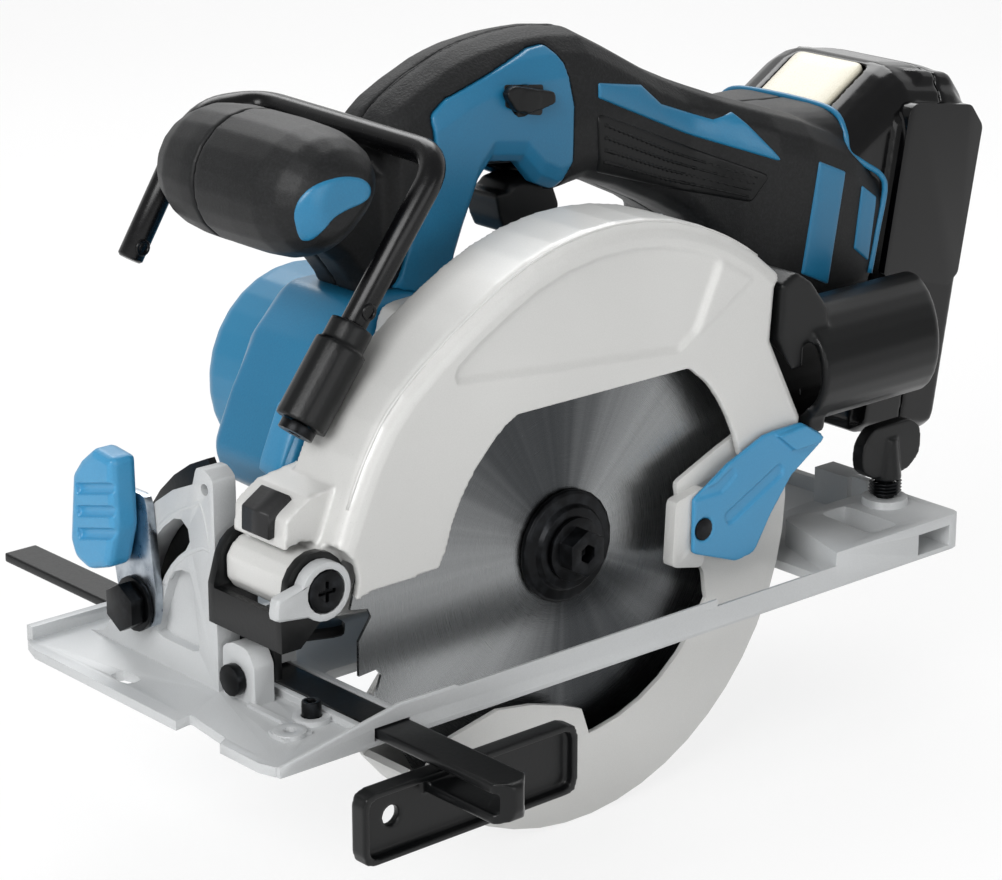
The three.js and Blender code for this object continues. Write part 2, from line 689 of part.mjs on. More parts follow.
const opening = [
  [-78, 6],
  [-70.6, 7.8, 2],
  [-60.2, 8.3, 3],
  ...arc(0, 0, 58.5, 165, 125, 5).map((p) => [p.x, p.y]),
  [-29, 50.3, 4],
  [40.6, 50.3, 5],
  ...arc(0, 0, 65.5, 42, 15, 4).map((p) => [p.x, p.y]),
  [66, -50],
  [-78, -50],
];
let guard = loft([
  shellRing(NEAR_FACE, 5),
  shellRing(NEAR_FACE + 0.8, 2.6),
  shellRing(NEAR_FACE + 2.4, 0.9),
  shellRing(NEAR_FACE + 5, 0),
  shellRing(FAR_FACE, 0),
]);
const cavity = [
  ...rimArc(186, 42, 16, 3).map(([x, z]) => {
    const r = Math.hypot(x, z);
    const kept = Math.min(r, z < 60 ? 91.5 * scale : r);
    return [x * kept / r, z * kept / r];
  }),
  [75, 69],
  [74, 52],
  [88, 24],
  [88, -40],
  [-88, -40],
];
guard = cut(
  guard,
  plateXZ(rounded(opening), NEAR_FACE - 1, FAR_FACE - FAR_T),
  plateXZ(rounded(cavity), NEAR_FACE + NEAR_T, FAR_FACE - FAR_T),
);
guard = join(
  guard,
  plateXZ(rounded([
    ...rimArc(178, 42, 20),
    [79, 70],
    [77.5, 52],
    [90, 28],
    [86, -16, 4],
    [28, -16, 4],
    ...arc(0, 0, 24.7, -42, -138, 8).map((p) => [p.x, p.y]),
    [-28, -14, 4],
    [-78, -8, 4],
    [-90, 4, 3],
  ]), FAR_FACE - FAR_T, FAR_FACE),
  // raised panel on the near face
  plateXZ(rounded([
    [-50, 64, 4],
    [-10, 59.5],
    [43, 60.2, 4],
    ...rimArc(48, 122, 8, 8.5),
  ]), NEAR_FACE - 0.4, NEAR_FACE + 0.3),
  // neck that carries the handle
  plateXZ(rounded([[-46, 44], [-38, 74, 5], [-8, 76, 5], [10, 60], [24, 44]]), FAR_FACE - 0.5, 39.6),
  // block over the lift pivot
  plateXZ(rounded([[-86, 14], [-99, 17], [-107, 20, 2], [-106, 33, 3], [-98, 38, 3], [-84, 40]]),
    -2, FAR_FACE + 5),
);
guard = cut(
  guard,
  rodY(DEPTH_X, DEPTH_Z, EAR_R + 1.8, NEAR_FACE - 2, -5.2, 24),
  rodY(DEPTH_X, DEPTH_Z, EAR_R + 1, -5.3, 30, 18),
  rodY(0, 0, 23.5, FAR_FACE - FAR_T - 1, FAR_FACE + 1, 24),
  rodX(1.6, 37.5, 11.4, 66, 99, 20),
  rodY(DEPTH_X + 168.35, -9.66, 3.4, FAR_FACE - 4, FAR_FACE + 1, 12),
  plateXZ(rounded([[-40, 48], [-34, 70, 3], [-11, 72, 3], [5, 58], [16, 48]]), FAR_FACE + 3, 41),
);
guard = join(
  guard,
  cut(rodY(DEPTH_X, DEPTH_Z, 9, -5.2, 22.3, 16), box(-150, -109.5, -30, 60, -40, 60)),
  plateXZ(rounded([[-96, 8], [-90, 6], [-86, 12], [-84, 24], [-96, 24]]), -5.2, FAR_FACE),
);
guard = cut(guard, rodY(DEPTH_X, DEPTH_Z, 4.35, -8, 24, 16), rodY(0, 0, 90.6 * scale, NEAR_FACE + NEAR_T, FAR_FACE - FAR_T, 36));
place('upper_guard', guard, PAINT);

const MOTOR_Y0 = 47.5;
const MOTOR_Y1 = MOTOR_Y0 + MOTOR_LENGTH + 14.5;
const WHEEL_R = GEAR_MODULE * WHEEL_TEETH / 2;
let gearCase = join(
  rodY(0, 0, 26, 19.9, 46, 22),
  rodY(MOTOR_X, MOTOR_Z, 18, 22, 46, 20),
  rodY(MOTOR_X, MOTOR_Z, MOTOR_R, 42, 46.8, 30),
);
gearCase = cut(
  gearCase,
  box(-60, 60, 0, 60, -60, -25.5),
  rodY(0, 0, WHEEL_R + GEAR_MODULE + 1, 19, 35.5, 24),
  rodY(MOTOR_X, MOTOR_Z, 8, 22.5, 35.5, 14),
  rodY(0, 0, 11.3, 35, 43.6, 24),
  rodY(MOTOR_X, MOTOR_Z, 4.8, 35, 50, 16),
);
place('gear_case', gearCase, CAST);
place('bearing_box', turnedY(0, 0, [
  [9.6, 9.5],
  [19, 9.5],
  [19, 17.2],
  [25.2, 17.2],
  [25.2, 19.6],
  [14.3, 19.6],
  [14.3, 10.5],
  [9.6, 10.5],
  [9.6, 9.5],
], 18), CAST);
const bearing = (r0, r1, y0, y1) => turnedY(0, 0, [
  [r0, y0],
  [r1, y0],
  [r1, y1],
  [r0, y1],
  [r0, y0],
], 18);
place('front_bearing', bearing(6.3, 14, 10.8, 18.8), STEEL);
place('rear_bearing', bearing(6.3, 11, 36, 43.3), STEEL);

const guardSpring = [];
for (let k = 0; k <= 24; k += 1) {
  const a = 2 * Math.PI * k / 12;
  guardSpring.push(new THREE.Vector3(21.2 * Math.cos(a), 14.3 + 2.3 * k / 24, 21.2 * Math.sin(a)));
}
place('guard_spring', sweep(guardSpring, 0.42, 4), STEEL);

// ---------------------------------------------------------------- blade train
const toothed = (teeth, profile) => {
  const points = [];
  for (let i = 0; i < teeth; i += 1) {
    for (const [r, along] of profile) {
      const a = 2 * Math.PI * (i + along) / teeth;
      points.push(new THREE.Vector2(r * Math.cos(a), r * Math.sin(a)));
    }
  }
  return points;
};
let blade = plateXZ(toothed(BLADE_TEETH, [
  [BLADE_R, 0],
  [BLADE_R - 6.4, 0.06],
  [BLADE_R - 7.5, 0.2],
  [BLADE_R - 2.2, 0.5],
]), -PLATE_T / 2, PLATE_T / 2);
blade = cut(blade, rodY(0, 0, BLADE_BORE / 2, -2, 2, 24));
place('blade', blade, STEEL);
place('inner_flange', turnedY(0, 0, [
  [6.3, -0.4],
  [9.7, -0.4],
  [9.7, 0.8],
  [17.5, 0.8],
  [17.5, 3],
  [12, 4.8],
  [9, 4.8],
  [9, 8.1],
  [6.3, 8.1],
  [6.3, -0.4],
], 20), BLUED);
place('outer_flange', turnedY(0, 0, [
  [4.4, -0.8],
  [17.8, -0.8],
  [17.8, -2.4],
  [16.8, -3.1],
  [13.6, -3.1],
  [12.8, -4.8],
  [4.4, -4.8],
  [4.4, -0.8],
], 22), BLUED);
place('blade_bolt', cut(
  join(
    rodY(0, 0, 10, -6.4, -5.1, 24),
    hexY(0, 0, 13, -11.6, -6.2),
    rodY(0, 0, 3.9, -6, 11.5, 14),
  ),
  hexY(0, 0, 5.2, -12, -7.4),
), BLUED);
place('spindle', cut(
  join(rodY(0, 0, 6, -0.3, 43.2, 18), rodY(0, 0, 8.4, 8.4, 10.4, 18)),
  rodY(0, 0, 4.2, -1, 12.5, 14),
), STEEL);
const gearOutline = (teeth, m) => toothed(teeth, [
  [m * (teeth / 2 - 1.35), -0.5],
  [m * (teeth / 2 + 0.85), -0.06],
  [m * (teeth / 2 + 0.85), 0.06],
]);
place('large_gear', cut(
  plateXZ(gearOutline(WHEEL_TEETH, GEAR_MODULE), 24.5, 33.5),
  rodY(0, 0, 6.3, 20, 40, 20),
), STEEL);

// ---------------------------------------------------------------- motor
const motorRing = (y) => {
  const bulge = rounded([
    [-20, 76],
    [-44, 75.5, 6],
    [-57, 63, 8],
    [-67, 46, 8],
    [-74, 28, 6],
    [-71, 19, 5],
    [-60, 12, 8],
    [-20, 4],
  ], 0, 2);
  return bulge.map((p) => new THREE.Vector3(p.x, y, p.y));
};
const inward = (ring, by) => {
  const middle = ring.reduce((sum, p) => sum.add(p), new THREE.Vector3()).divideScalar(ring.length);
  return ring.map((p) => {
    const step = p.clone().sub(middle).setY(0);
    return p.clone().addScaledVector(step, -by / step.length());
  });
};
const LOBE_Y = [40.4, 78];
const lobe = (shrink, y0, y1, round) => loft([
  inward(motorRing(y0), shrink + round),
  inward(motorRing(y0 + round), shrink),
  inward(motorRing(y1 - round), shrink),
  inward(motorRing(y1), shrink + round),
]);
let housing = join(
  turnedY(MOTOR_X, MOTOR_Z, [
    [0, MOTOR_Y0],
    [MOTOR_R, MOTOR_Y0],
    [MOTOR_R, MOTOR_Y1 - 5],
    [MOTOR_R - 1.5, MOTOR_Y1 - 1.5],
    [MOTOR_R - 5, MOTOR_Y1],
    [0, MOTOR_Y1],
  ], 30),
  lobe(0, ...LOBE_Y, 3),
);
housing = cut(
  housing,
  rodY(MOTOR_X, MOTOR_Z, MOTOR_R - 3, MOTOR_Y0 + 4, MOTOR_Y1 - 3, 24),
  lobe(3, LOBE_Y[0] + 3, LOBE_Y[1] - 3, 1),
  rodY(MOTOR_X, MOTOR_Z, 20, MOTOR_Y0 - 1, MOTOR_Y0 + 6, 18),
  // seat of the gear case
  rodY(MOTOR_X, MOTOR_Z, MOTOR_R + GAP, 40, MOTOR_Y0, 30),
  rodY(0, 0, 26 + GAP, 40, MOTOR_Y0, 30),
);
for (let i = -2; i <= 2; i += 1) {
  housing = cut(housing, box(MOTOR_X - 20, MOTOR_X + 20, MOTOR_Y1 - 6, MOTOR_Y1 + 1,
    MOTOR_Z + 9 * i - 1.6, MOTOR_Z + 9 * i + 1.6));
}
place('motor_housing', housing, TEAL);
let stator = cut(
  rodY(MOTOR_X, MOTOR_Z, MOTOR_R - 3.8, 72, 108, 24),
  rodY(MOTOR_X, MOTOR_Z, 17.6, 71, 109, 18),
);
for (let i = 0; i < 6; i += 1) {
  const a = rad(60 * i + 30);
  stator = cut(stator, rodY(MOTOR_X + 22 * Math.cos(a), MOTOR_Z + 22 * Math.sin(a), 5.4, 71, 109, 8));
}
place('stator', stator, SILICON);
// pinion turned so that one tooth sits in the wheel's gap on the line of centres
const toMotor = Math.atan2(MOTOR_Z, MOTOR_X) * 180 / Math.PI;
const wheelPitch = 360 / WHEEL_TEETH;
const gapAngle = (Math.floor(toMotor / wheelPitch) + 0.5) * wheelPitch;
const PINION_TURN = toMotor + 180 + (toMotor - gapAngle) * WHEEL_TEETH / PINION_TEETH;
place('rotor', join(
  rodY(MOTOR_X, MOTOR_Z, 4, 34, MOTOR_Y1 - 6.6, 14),
  rodY(MOTOR_X, MOTOR_Z, 3, 23, 35, 10),
  plateXZ(gearOutline(PINION_TEETH, GEAR_MODULE).map((p) => {
    const a = rad(PINION_TURN);
    return new THREE.Vector2(
      MOTOR_X + p.x * Math.cos(a) - p.y * Math.sin(a),
      MOTOR_Z + p.x * Math.sin(a) + p.y * Math.cos(a),
    );
  }), 24.5, 34),
  rodY(MOTOR_X, MOTOR_Z, 16.8, 72, 108, 20),
), STEEL);
let fan = join(
  rodY(MOTOR_X, MOTOR_Z, 9, 114, 126, 12),
  rodY(MOTOR_X, MOTOR_Z, 28, 124, 126, 20),
);
for (let i = 0; i < 7; i += 1) {
  const vane = new THREE.BoxGeometry(20, 10, 1.4).translate(18, 119, 0).rotateY(2 * Math.PI * i / 7)
    .translate(MOTOR_X, 0, MOTOR_Z);
  fan = join(fan, solid(vane));
}
place('fan', cut(fan, rodY(MOTOR_X, MOTOR_Z, 4.3, 110, 130, 16)), BLACK);

// ---------------------------------------------------------------- lower guard
const LG_R = BLADE_R + 4.8;
const LG_NEAR = [-9.3, -7.6];
const LG_FAR = [10.4, 12.2];
const polar = (r, a) => [r * Math.cos(rad(a)), r * Math.sin(rad(a))];
let shroud = join(
  plateXZ(rounded([
    ...arc(0, 0, LG_R, 20, -137, 22).map((p) => [p.x, p.y]),
    [-61, -52],
    [-54, -46],
    polar(54, 231),
    polar(48.5, 245),
    polar(48.4, 261),
    polar(51, 270),
    polar(60, 273),
    ...arc(0, 0, 60, 276, 332, 6).map((p) => [p.x, p.y]),
    [52.4, -26, 3],
    [51.4, -18.8, 4],
    [40.3, -4.3, 3],
    [41, 0.7, 3],
    [38.6, 13.2, 2],
    polar(60, 20),
  ]), ...LG_NEAR),
  cut(
    plateXZ([...arc(0, 0, LG_R, 20, -143, 22), ...arc(0, 0, LG_R - 2.2, -143, 20, 22)],
      LG_NEAR[0] + 0.5, LG_FAR[1] - 0.5),
  ),
  plateXZ(rounded([
    ...arc(0, 0, LG_R, 20, -150, 22).map((p) => [p.x, p.y]),
    polar(62, 202),
    ...arc(0, 0, 26, 190, 40, 8).map((p) => [p.x, p.y]),
  ]), ...LG_FAR),
  rodY(0, 0, 23.2, LG_FAR[0], 13.6, 24),
  // boss that carries the lifting lever
  plateXZ(rounded([
    polar(36, -20),
    polar(49.3, -18),
    polar(49.3, -6),
    polar(49.3, 6),
    polar(49.3, 13),
    polar(36, 14),
  ], 2), -13.2, LG_NEAR[0] + 0.3),
);
const LEVER_AT = [45.5, -2];
shroud = cut(
  shroud,
  rodY(0, 0, 19.4, 8, 20, 22),
  rodY(LEVER_AT[0], LEVER_AT[1], 2.3, -14, -9.6, 10),
);
place('lower_guard', shroud, PAINT);
place('guard_lever', cut(
  join(
    plateXZ(rounded([
      [41, 8.5, 2],
      [41, -9, 2],
      [60, -16, 3],
      [68, -15, 4],
      [75, -4, 3],
      [84, 7, 4],
      [97, 15, 3],
      [98, 17.5, 2],
      [88, 23.5, 3],
      [72, 23, 4],
      [56, 17, 3],
    ]), -15.1, -13.5),
    plateXZ(rounded([[84, 15.5, 2], [95, 15.5, 2], [96.5, 17.5], [88, 23, 2], [76, 22]]), -17, -14),
  ),
  rodY(LEVER_AT[0], LEVER_AT[1], 2.4, -16, -13, 10),
  rodY(LEVER_AT[0], LEVER_AT[1], 4, -16, -14.3, 14),
), TEAL);
place('guard_lever_screw', join(
  rodY(LEVER_AT[0], LEVER_AT[1], 3.6, -15.1, -14.6, 14),
  rodY(LEVER_AT[0], LEVER_AT[1], 1.9, -14.8, -10, 10),
), BLUED);

const studX = DEPTH_X + GUIDE_R * Math.cos(rad(STUD_AT));
const studZ = DEPTH_Z + GUIDE_R * Math.sin(rad(STUD_AT));
place('depth_lever', join(
  rodY(studX, studZ, 3, FAR_FACE - 2.2, 24, 12),
  rodY(studX, studZ, 7, 21.6, 28, 16),
  plateXZ(rounded([
    [studX - 6, studZ - 5, 4],
    [studX + 7, studZ - 6, 4],
    [studX + 36, studZ + 14, 4],
    [studX + 32, studZ + 22, 4],
    [studX - 2, studZ + 7, 4],
  ]), 23.5, 28, 1, 1),
), BLACK);

// ---------------------------------------------------------------- handle halves
// one loft from the front face over the grip into the battery holder:
// [x, low, high, half width, how far the section leans back per mm of height]
const HALF = HANDLE_W / 2;
const handleStations = [
  [-33, 84, 119, HALF - 8],
  [-31, 76, 125, HALF - 3.5],
  [-27, 70, 129, HALF - 0.8],
  [-22, 64, 132.2],
  [-14, 62, 136.3],
  [-9.5, 62, 138.2],
  [-7.5, 77, 139],
  [-3, 88, 141],
  [3, 101, 142.8],
  [9, 107.5, 144.2],
  [22, 105.5, 145.8],
  [29, 98, 146],
  [36, 94.8, 145.9],
  [49, 96.6, 144.2],
  [64, 91.5, 136.6],
  [82, 83, 126.8],
  [92, 77, 122.2, HALF + 1],
  [98, 70, 119.6, HALF + 4],
  [106, 57, 116.2, HALF + 10.5],
  [117, 46, 112.5, HALF + 16.5],
  [131, 41.5, 108, HALF + 19],
  [150, 41.8, 99.5, HALF + 19.4],
  [157.5, 44, 88, HALF + 19.4, 0.165],
];
const handleRing = ([x, low, high, half = HALF, back = 0], grow) => {
  const w = half + grow;
  const z0 = low - grow;
  const z1 = high + grow;
  const top = Math.min(14 + grow, 0.9 * w, 0.45 * (z1 - z0));
  const bottom = Math.min(9 + grow, 0.9 * w, 0.45 * (z1 - z0));
  const corners = [
    [w - bottom, z0 + bottom, bottom, -90],
    [w - top, z1 - top, top, 0],
    [top - w, z1 - top, top, 90],
    [bottom - w, z0 + bottom, bottom, 180],
  ];
  return corners.flatMap(([y, z, r, from]) => arc(y, z, r, from, from + 90, 3))
    .map((p) => new THREE.Vector3(x + back * (p.y - low), HANDLE_Y + p.x, p.y));
};
const handleLoft = (grow, from = 0, to = handleStations.length) => loft(
  handleStations.slice(from, to).map((station) => handleRing(station, grow)),
);
// an outline moved in (positive) or out; points that would fold over are dropped
const offset = (points, by) => {
  const side = THREE.ShapeUtils.area(points) < 0 ? -by : by;
  const moved = points.map((p, i) => {
    const before = points[(i + points.length - 1) % points.length];
    const after = points[(i + 1) % points.length];
    const along = new THREE.Vector2().subVectors(after, before).normalize();
    return new THREE.Vector2(p.x - along.y * side, p.y + along.x * side);
  });
  const clear = (q) => points.every((a, i) => {
    const b = points[(i + 1) % points.length];
    const line = b.clone().sub(a);
    const t = THREE.MathUtils.clamp(q.clone().sub(a).dot(line) / line.lengthSq(), 0, 1);
    return q.distanceTo(a.clone().addScaledVector(line, t)) > 0.9 * Math.abs(by);
  });
  const kept = [];
  for (const q of moved.filter(clear)) {
    if (!kept.length || q.distanceTo(kept[kept.length - 1]) > 0.8) kept.push(q);
  }
  return kept;
};

// the battery has its own leaning frame: x away from the tool, z along the pack
const BATTERY_AT = new THREE.Vector3(167, 58.5, 81);
const lean = (body) => solid(toGeometry(body).applyMatrix4(
  new THREE.Matrix4().makeTranslation(BATTERY_AT.x, BATTERY_AT.y, BATTERY_AT.z)
    .multiply(new THREE.Matrix4().makeRotationY(rad(BATTERY_TILT))),
));
const railW = BATTERY_WIDTH / 2 - 4.5;
// the barrel is full on top and flattened towards the near end, below
const gripRing = ([y, r, flat]) => {
  const ring = [];
  for (let k = 0; k < 20; k += 1) {
    const a = 2 * Math.PI * k / 20;
    const pull = 1 - flat * Math.max(0, Math.cos(a + rad(48))) ** 2;
    ring.push(new THREE.Vector3(
      -70.5 + r * 1.04 * pull * Math.cos(a),
      y,
      115.3 + r * 0.98 * pull * Math.sin(a),
    ));
  }
  return ring;
};
const GRIP_Y0 = 13.5;
const GRIP_Y1 = GRIP_Y0 + GRIP_LENGTH;
const grip = loft([
  [GRIP_Y0, GRIP_R - 12, 0.4],
  [GRIP_Y0 + 1.2, GRIP_R - 9.2, 0.36],
  [GRIP_Y0 + 4, GRIP_R - 6, 0.3],
  [GRIP_Y0 + 9, GRIP_R - 3, 0.2],
  [GRIP_Y0 + 17, GRIP_R - 1.1, 0.06],
  [GRIP_Y0 + 28, GRIP_R - 0.6, 0],
  [GRIP_Y1 - 24, GRIP_R - 0.7, 0],
  [GRIP_Y1 - 14, GRIP_R - 1.8, 0],
  [GRIP_Y1 - 7, GRIP_R - 4.8, 0],
  [GRIP_Y1 - 3, GRIP_R - 8.6, 0],
  [GRIP_Y1 - 0.8, GRIP_R - 13, 0],
  [GRIP_Y1, GRIP_R - 16.5, 0],
].map(gripRing));
let handle = join(
  handleLoft(0),
  plateXZ(rounded([
    [-60, 104, 3],
    [-56, 94, 4],
    [-47, 87, 3],
    [-41, 79, 3],
    [-38, 72],
    [-24, 72],
    [-24, 112],
    [-38, 115, 4],
    [-56, 118, 3],
  ]), HANDLE_Y - 13, HANDLE_Y + 13, 4, 1),
  grip,
);
handle = cut(
  handle,
  rodY(MOTOR_X, MOTOR_Z, MOTOR_R + GAP + 0.4, 40, 160, 30),
  lobe(-0.4, LOBE_Y[0] - 0.4, LOBE_Y[1] + 0.4, 3),
  handleLoft(-4, 2, 21),
  lean(box(-18.6, 60, -railW - 0.5, railW + 0.5, -33.5, 80)),
  lean(box(-40, -18, -15.5, 15.5, -27.6, -2.4)),
  plateXZ(rounded([[14, 90], [30, 74], [54, 84], [50, 104], [28, 113], [16, 106]]),
    HANDLE_Y - 8.8, HANDLE_Y + 8.8),
  rodY(20, 127.5, 4.4, 30, 90, 16),
);
const panelShape = rounded([
  [-30, 72, 2],
  [-19, 70, 2],
  [-8.5, 76, 2],
  [-3, 89],
  [2, 101, 4],
  [8, 109.5, 4],
  [21, 107.5, 4],
  [28, 99.5, 3],
  [36, 96, 2],
  [41, 105],
  [41.5, 122],
  [38, 136, 3],
  [33, 142, 2],
  [26, 141.5, 3],
  [9, 136.5],
  [-9, 131],
  [-15, 127, 3],
  [-14, 116],
  [-22, 97],
]);
// the panels follow the rounded flanks of the halves
const panelWeb = (outline, y0, y1, outer, inner) => plateXZ(outline, y0, y1)
  .intersect(handleLoft(outer)).subtract(handleLoft(inner, 1, handleStations.length - 1));
const pocket = offset(panelShape, -0.35);
handle = cut(
  handle,
  panelWeb(pocket, 30, HANDLE_Y - 8.8, 2, -2.4),
  panelWeb(pocket, HANDLE_Y + 8.8, 90, 2, -2.4),
);
const halfSpace = (y0, y1) => box(-200, 300, y0, y1, -100, 250);
place('handle_near', handle.intersect(halfSpace(-50, HANDLE_Y - 0.15)), GRIP);
place('handle_far', handle.intersect(halfSpace(HANDLE_Y + 0.15, 200)), GRIP);
const panelHoles = join(
  rodY(20, 127.5, 4.4, 30, 90, 16),
  lobe(-0.4, LOBE_Y[0] - 0.4, LOBE_Y[1] + 0.4, 3),
);
place('side_panel_near', cut(panelWeb(panelShape, 30, HANDLE_Y - 9.2, 0.3, -2.1), panelHoles), TEAL);
place('side_panel_far', cut(panelWeb(panelShape, HANDLE_Y + 9.2, 90, 0.3, -2.1), panelHoles), TEAL);

// ---------------------------------------------------------------- trigger, lock and electronics
place('trigger', plateXZ(rounded([
  [18.5, 93, 2],
  [24.5, 84, 4],
  [31, 80.5, 4],
  [38, 82.5, 3],
  [45, 88, 2],
  [41, 98, 2],
  [30, 100],
  [24, 99, 2],
]), HANDLE_Y - 8, HANDLE_Y + 8, 1.6, 1), BLACK);
const paddle = (y) => plateXZ(rounded([
  [10, 131, 2],
  [14, 133, 2],
  [30, 129, 1.5],
  [31, 125.5, 1.5],
  [24, 124],
  [15, 124.5, 2],
]), y, y + 3.1);
place('lock_off_lever', join(
  rodY(20, 127.5, 4, 37, 79, 14),
  paddle(HANDLE_Y - HALF - 3.8),
  paddle(HANDLE_Y + HALF + 0.7),
), BLACK);
place('switch', join(
  box(26, 60, 49.5, 66.5, 108, 124),
  box(29, 35, 54, 62, 106.6, 109),
  box(45, 57, 52, 64, 123, 126),
), BLACK);
place('controller', cut(
  box(114.5, 123.5, 31, 85, 66, 97),
  ...[40, 49, 58, 67, 76].map((y) => box(113, 119, y - 3.4, y + 3.4, 69, 98)),
), SILICON);
// contact block whose blades run in the slots of the pack
const terminals = [-10.5, -3.5, 3.5, 10.5];
place('terminal_block', lean(join(
  box(-26, -19, -15, 15, -27, -3),
  ...terminals.map((y) => box(-20, -13.6, y - 0.5, y + 0.5, -24, -12)),
)), BLACK);

// ---------------------------------------------------------------- hanging hook
const HOOK_FOOT = new THREE.Vector3(-90.5, 11, 55);
const HOOK_BEND = new THREE.Vector3(-37.2, 11, 124);
const HOOK_FAR = GRIP_Y1 + 9;  // the far leg clears the end of the front grip
const hookWay = HOOK_BEND.clone().sub(HOOK_FOOT).normalize();
const onHook = (s) => HOOK_FOOT.clone().addScaledVector(hookWay, s);
const hookTube = (s0, s1, r, sides) => sweep([onHook(s0), onHook(s1)], r, sides);
place('hook_holder', cut(
  join(
    hookTube(0, 25, 7.9, 20),
    hookTube(24, 32, 6.6, 20),
    // arm reaching back and inwards to the housing
    loft([[11, 0, 0], [39.9, 23, -10]].map(([y, dx, dz]) => [
      [4, -4.5],
      [27, -4.5],
      [27, 4.5],
      [4, 4.5],
    ].map(([s, side]) => {
      const p = onHook(s);
      return new THREE.Vector3(p.x + side * hookWay.z + dx, y, p.z - side * hookWay.x + dz);
    }))),
  ),
  lobe(-0.4, LOBE_Y[0] - 0.4, LOBE_Y[1] + 0.4, 3),
  hookTube(5, 33, ROD_D / 2 + 0.4, 12),
  hookTube(-1, 6, 2.4, 12),
  rodY(0, 0, 98.2 * scale, NEAR_FACE, FAR_FACE + 1, 36),
), BLACK);
place('hook_screw', cut(
  join(hookTube(-3.2, -0.4, 5.4, 16), hookTube(-0.5, 7.6, 2, 10)),
  hookTube(-4, -2, 2.2, 6),
), BLUED);
place('hook_rod', sweep(bent([
  onHook(8.6),
  HOOK_BEND,
  new THREE.Vector3(-37.2, HOOK_FAR, 126),
  new THREE.Vector3(-61, HOOK_FAR, 126),
  new THREE.Vector3(-87, HOOK_FAR, 85),
], 9, 3), ROD_D / 2, 10), GLOSS);

// ---------------------------------------------------------------- dust nozzle
const NOZZLE_Z = 37.5;
const skew = 0.47;
const pipeRing = (x, r, lean2) => {
  const ring = [];
  for (let k = 0; k < 24; k += 1) {
    const a = 2 * Math.PI * k / 24;
    const y = r * Math.cos(a);
    ring.push(new THREE.Vector3(x + lean2 * (y - NOZZLE_R), y, NOZZLE_Z + r * Math.sin(a)));
  }
  return ring;
};
place('dust_nozzle', cut(
  join(
    loft([
      pipeRing(94, NOZZLE_R, 0),
      pipeRing(NOZZLE_END - 1.5, NOZZLE_R, skew),
      pipeRing(NOZZLE_END, NOZZLE_R - 1.2, skew),
    ]),
    plateXZ(rounded([
      [79.7, 69.3, 1],
      [78.8, 52.5],
      [93.3, 24.4],
      [93, 18, 1],
      [101, 17, 2],
      [101, 58],
      [93, 68, 4],
      [86, 72.5, 2],
    ]), -13, 17.5),
    plateXZ(rounded([[96, 12, 3], [116, 8, 4], [119, 19, 4], [104, 26, 3], [94, 22]]), 10, 13.5),
  ),
  rodX(0, NOZZLE_Z, NOZZLE_R - 3, 90, 180, 22),
  rodX(1, NOZZLE_Z, 14, 70, 95, 14),
  rodY(111, 14.2, 2.4, 9, 15, 12),
), BLACK);
place('nozzle_screw', join(
  rodY(111, 14.2, 4.4, 7, 9.6, 14),
  rodY(111, 14.2, 2.1, 9.5, 17, 10),
), BLUED);

// ---------------------------------------------------------------- battery pack
const PACK_HALF = BATTERY_WIDTH / 2;
const PACK_LOW = -(BATTERY_LENGTH - 28);
const PACK_X = 22;
const packTop = [
  [-18, 18],
  [3, 37, 3],
  [30, 37, 4],
  [38, 30, 4],
  [42, 20],
];
const packBody = join(
  plateXZ(rounded([
    [0.4, PACK_LOW, 4],
    [43, PACK_LOW, 7],
    [43, 24, 6],
    [36, 27, 3],
    [0.4, 27],
  ]), -PACK_HALF, PACK_HALF, 4, 1),
  plateXZ(rounded([[-18, -32.5, 2], [6, -32.5], [6, 24], [-18, 24]]), -railW, railW),
  plateXZ(rounded([...packTop, [42, 10], [-18, 10]]), -30, 30, 2, 1),
);
const slopeAt = (along, up) => {
  const length = Math.hypot(21, 19);
  return [
    -18 + (21 * along - 19 * up) / length,
    18 + (19 * along + 21 * up) / length,
  ];
};
const slopeBox = (from, to, low, high) => [
  slopeAt(from, low),
  slopeAt(to, low),
  slopeAt(to, high),
  slopeAt(from, high),
];
const packHollow = cut(
  packBody,
  box(3, 40.4, -PACK_HALF + 2.6, PACK_HALF - 2.6, PACK_LOW + 2.6, 20),
  ...terminals.map((y) => box(-19, -12.6, y - 1.2, y + 1.2, -34, -9)),
  // side grooves that the holder rails engage
  ...[-1, 1].map((side) => box(-9, -4, side * railW - 2.4, side * railW + 2.4, -34, 28)),
  plateXZ(slopeBox(2, 26.4, -6.2, 4), -14, 14),
);
const packHalf = (x0, x1) => packHollow.intersect(box(x0, x1, -60, 60, -120, 60));
place('battery_cover', lean(packHalf(-30, PACK_X - 0.15)), BLACK);
place('battery_case', lean(packHalf(PACK_X + 0.15, 60)), BLACK);
const CELL_R = 9;
const CELL_PITCH = 17.9;
const CELL_Z0 = PACK_LOW + 12.4;
const CELL_ROWS = Math.floor((4 - CELL_Z0) / CELL_PITCH) + 1;
let cells = box(20.9, 22.7, -31, 31, PACK_LOW + 8, 4);
for (let row = 0; row < CELL_ROWS; row += 1) {
  for (const x of [12.6, 30.8]) {
    cells = join(cells, rodY(x, CELL_Z0 + CELL_PITCH * row, CELL_R, -32.5, 32.5, 8));
  }
}
place('cell_pack', lean(cells), COPPER);
place('battery_button', lean(plateXZ(slopeBox(2.5, 25.9, -2.4, 2.3), -13.5, 13.5, 0.8, 1)), CREAM);

const part = new THREE.Group();
part.name = 'circular_saw';
part.add(saw);
export default part;
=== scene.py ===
"""A cordless circular saw, put together from its base upwards.

Sizes are in millimetres from the arbor: x rearward along the cut, y to the motor side, z up.
"""
import math
import json

import bmesh
import bpy
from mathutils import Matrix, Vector
from mathutils.bvhtree import BVHTree
from mathutils.geometry import delaunay_2d_cdt

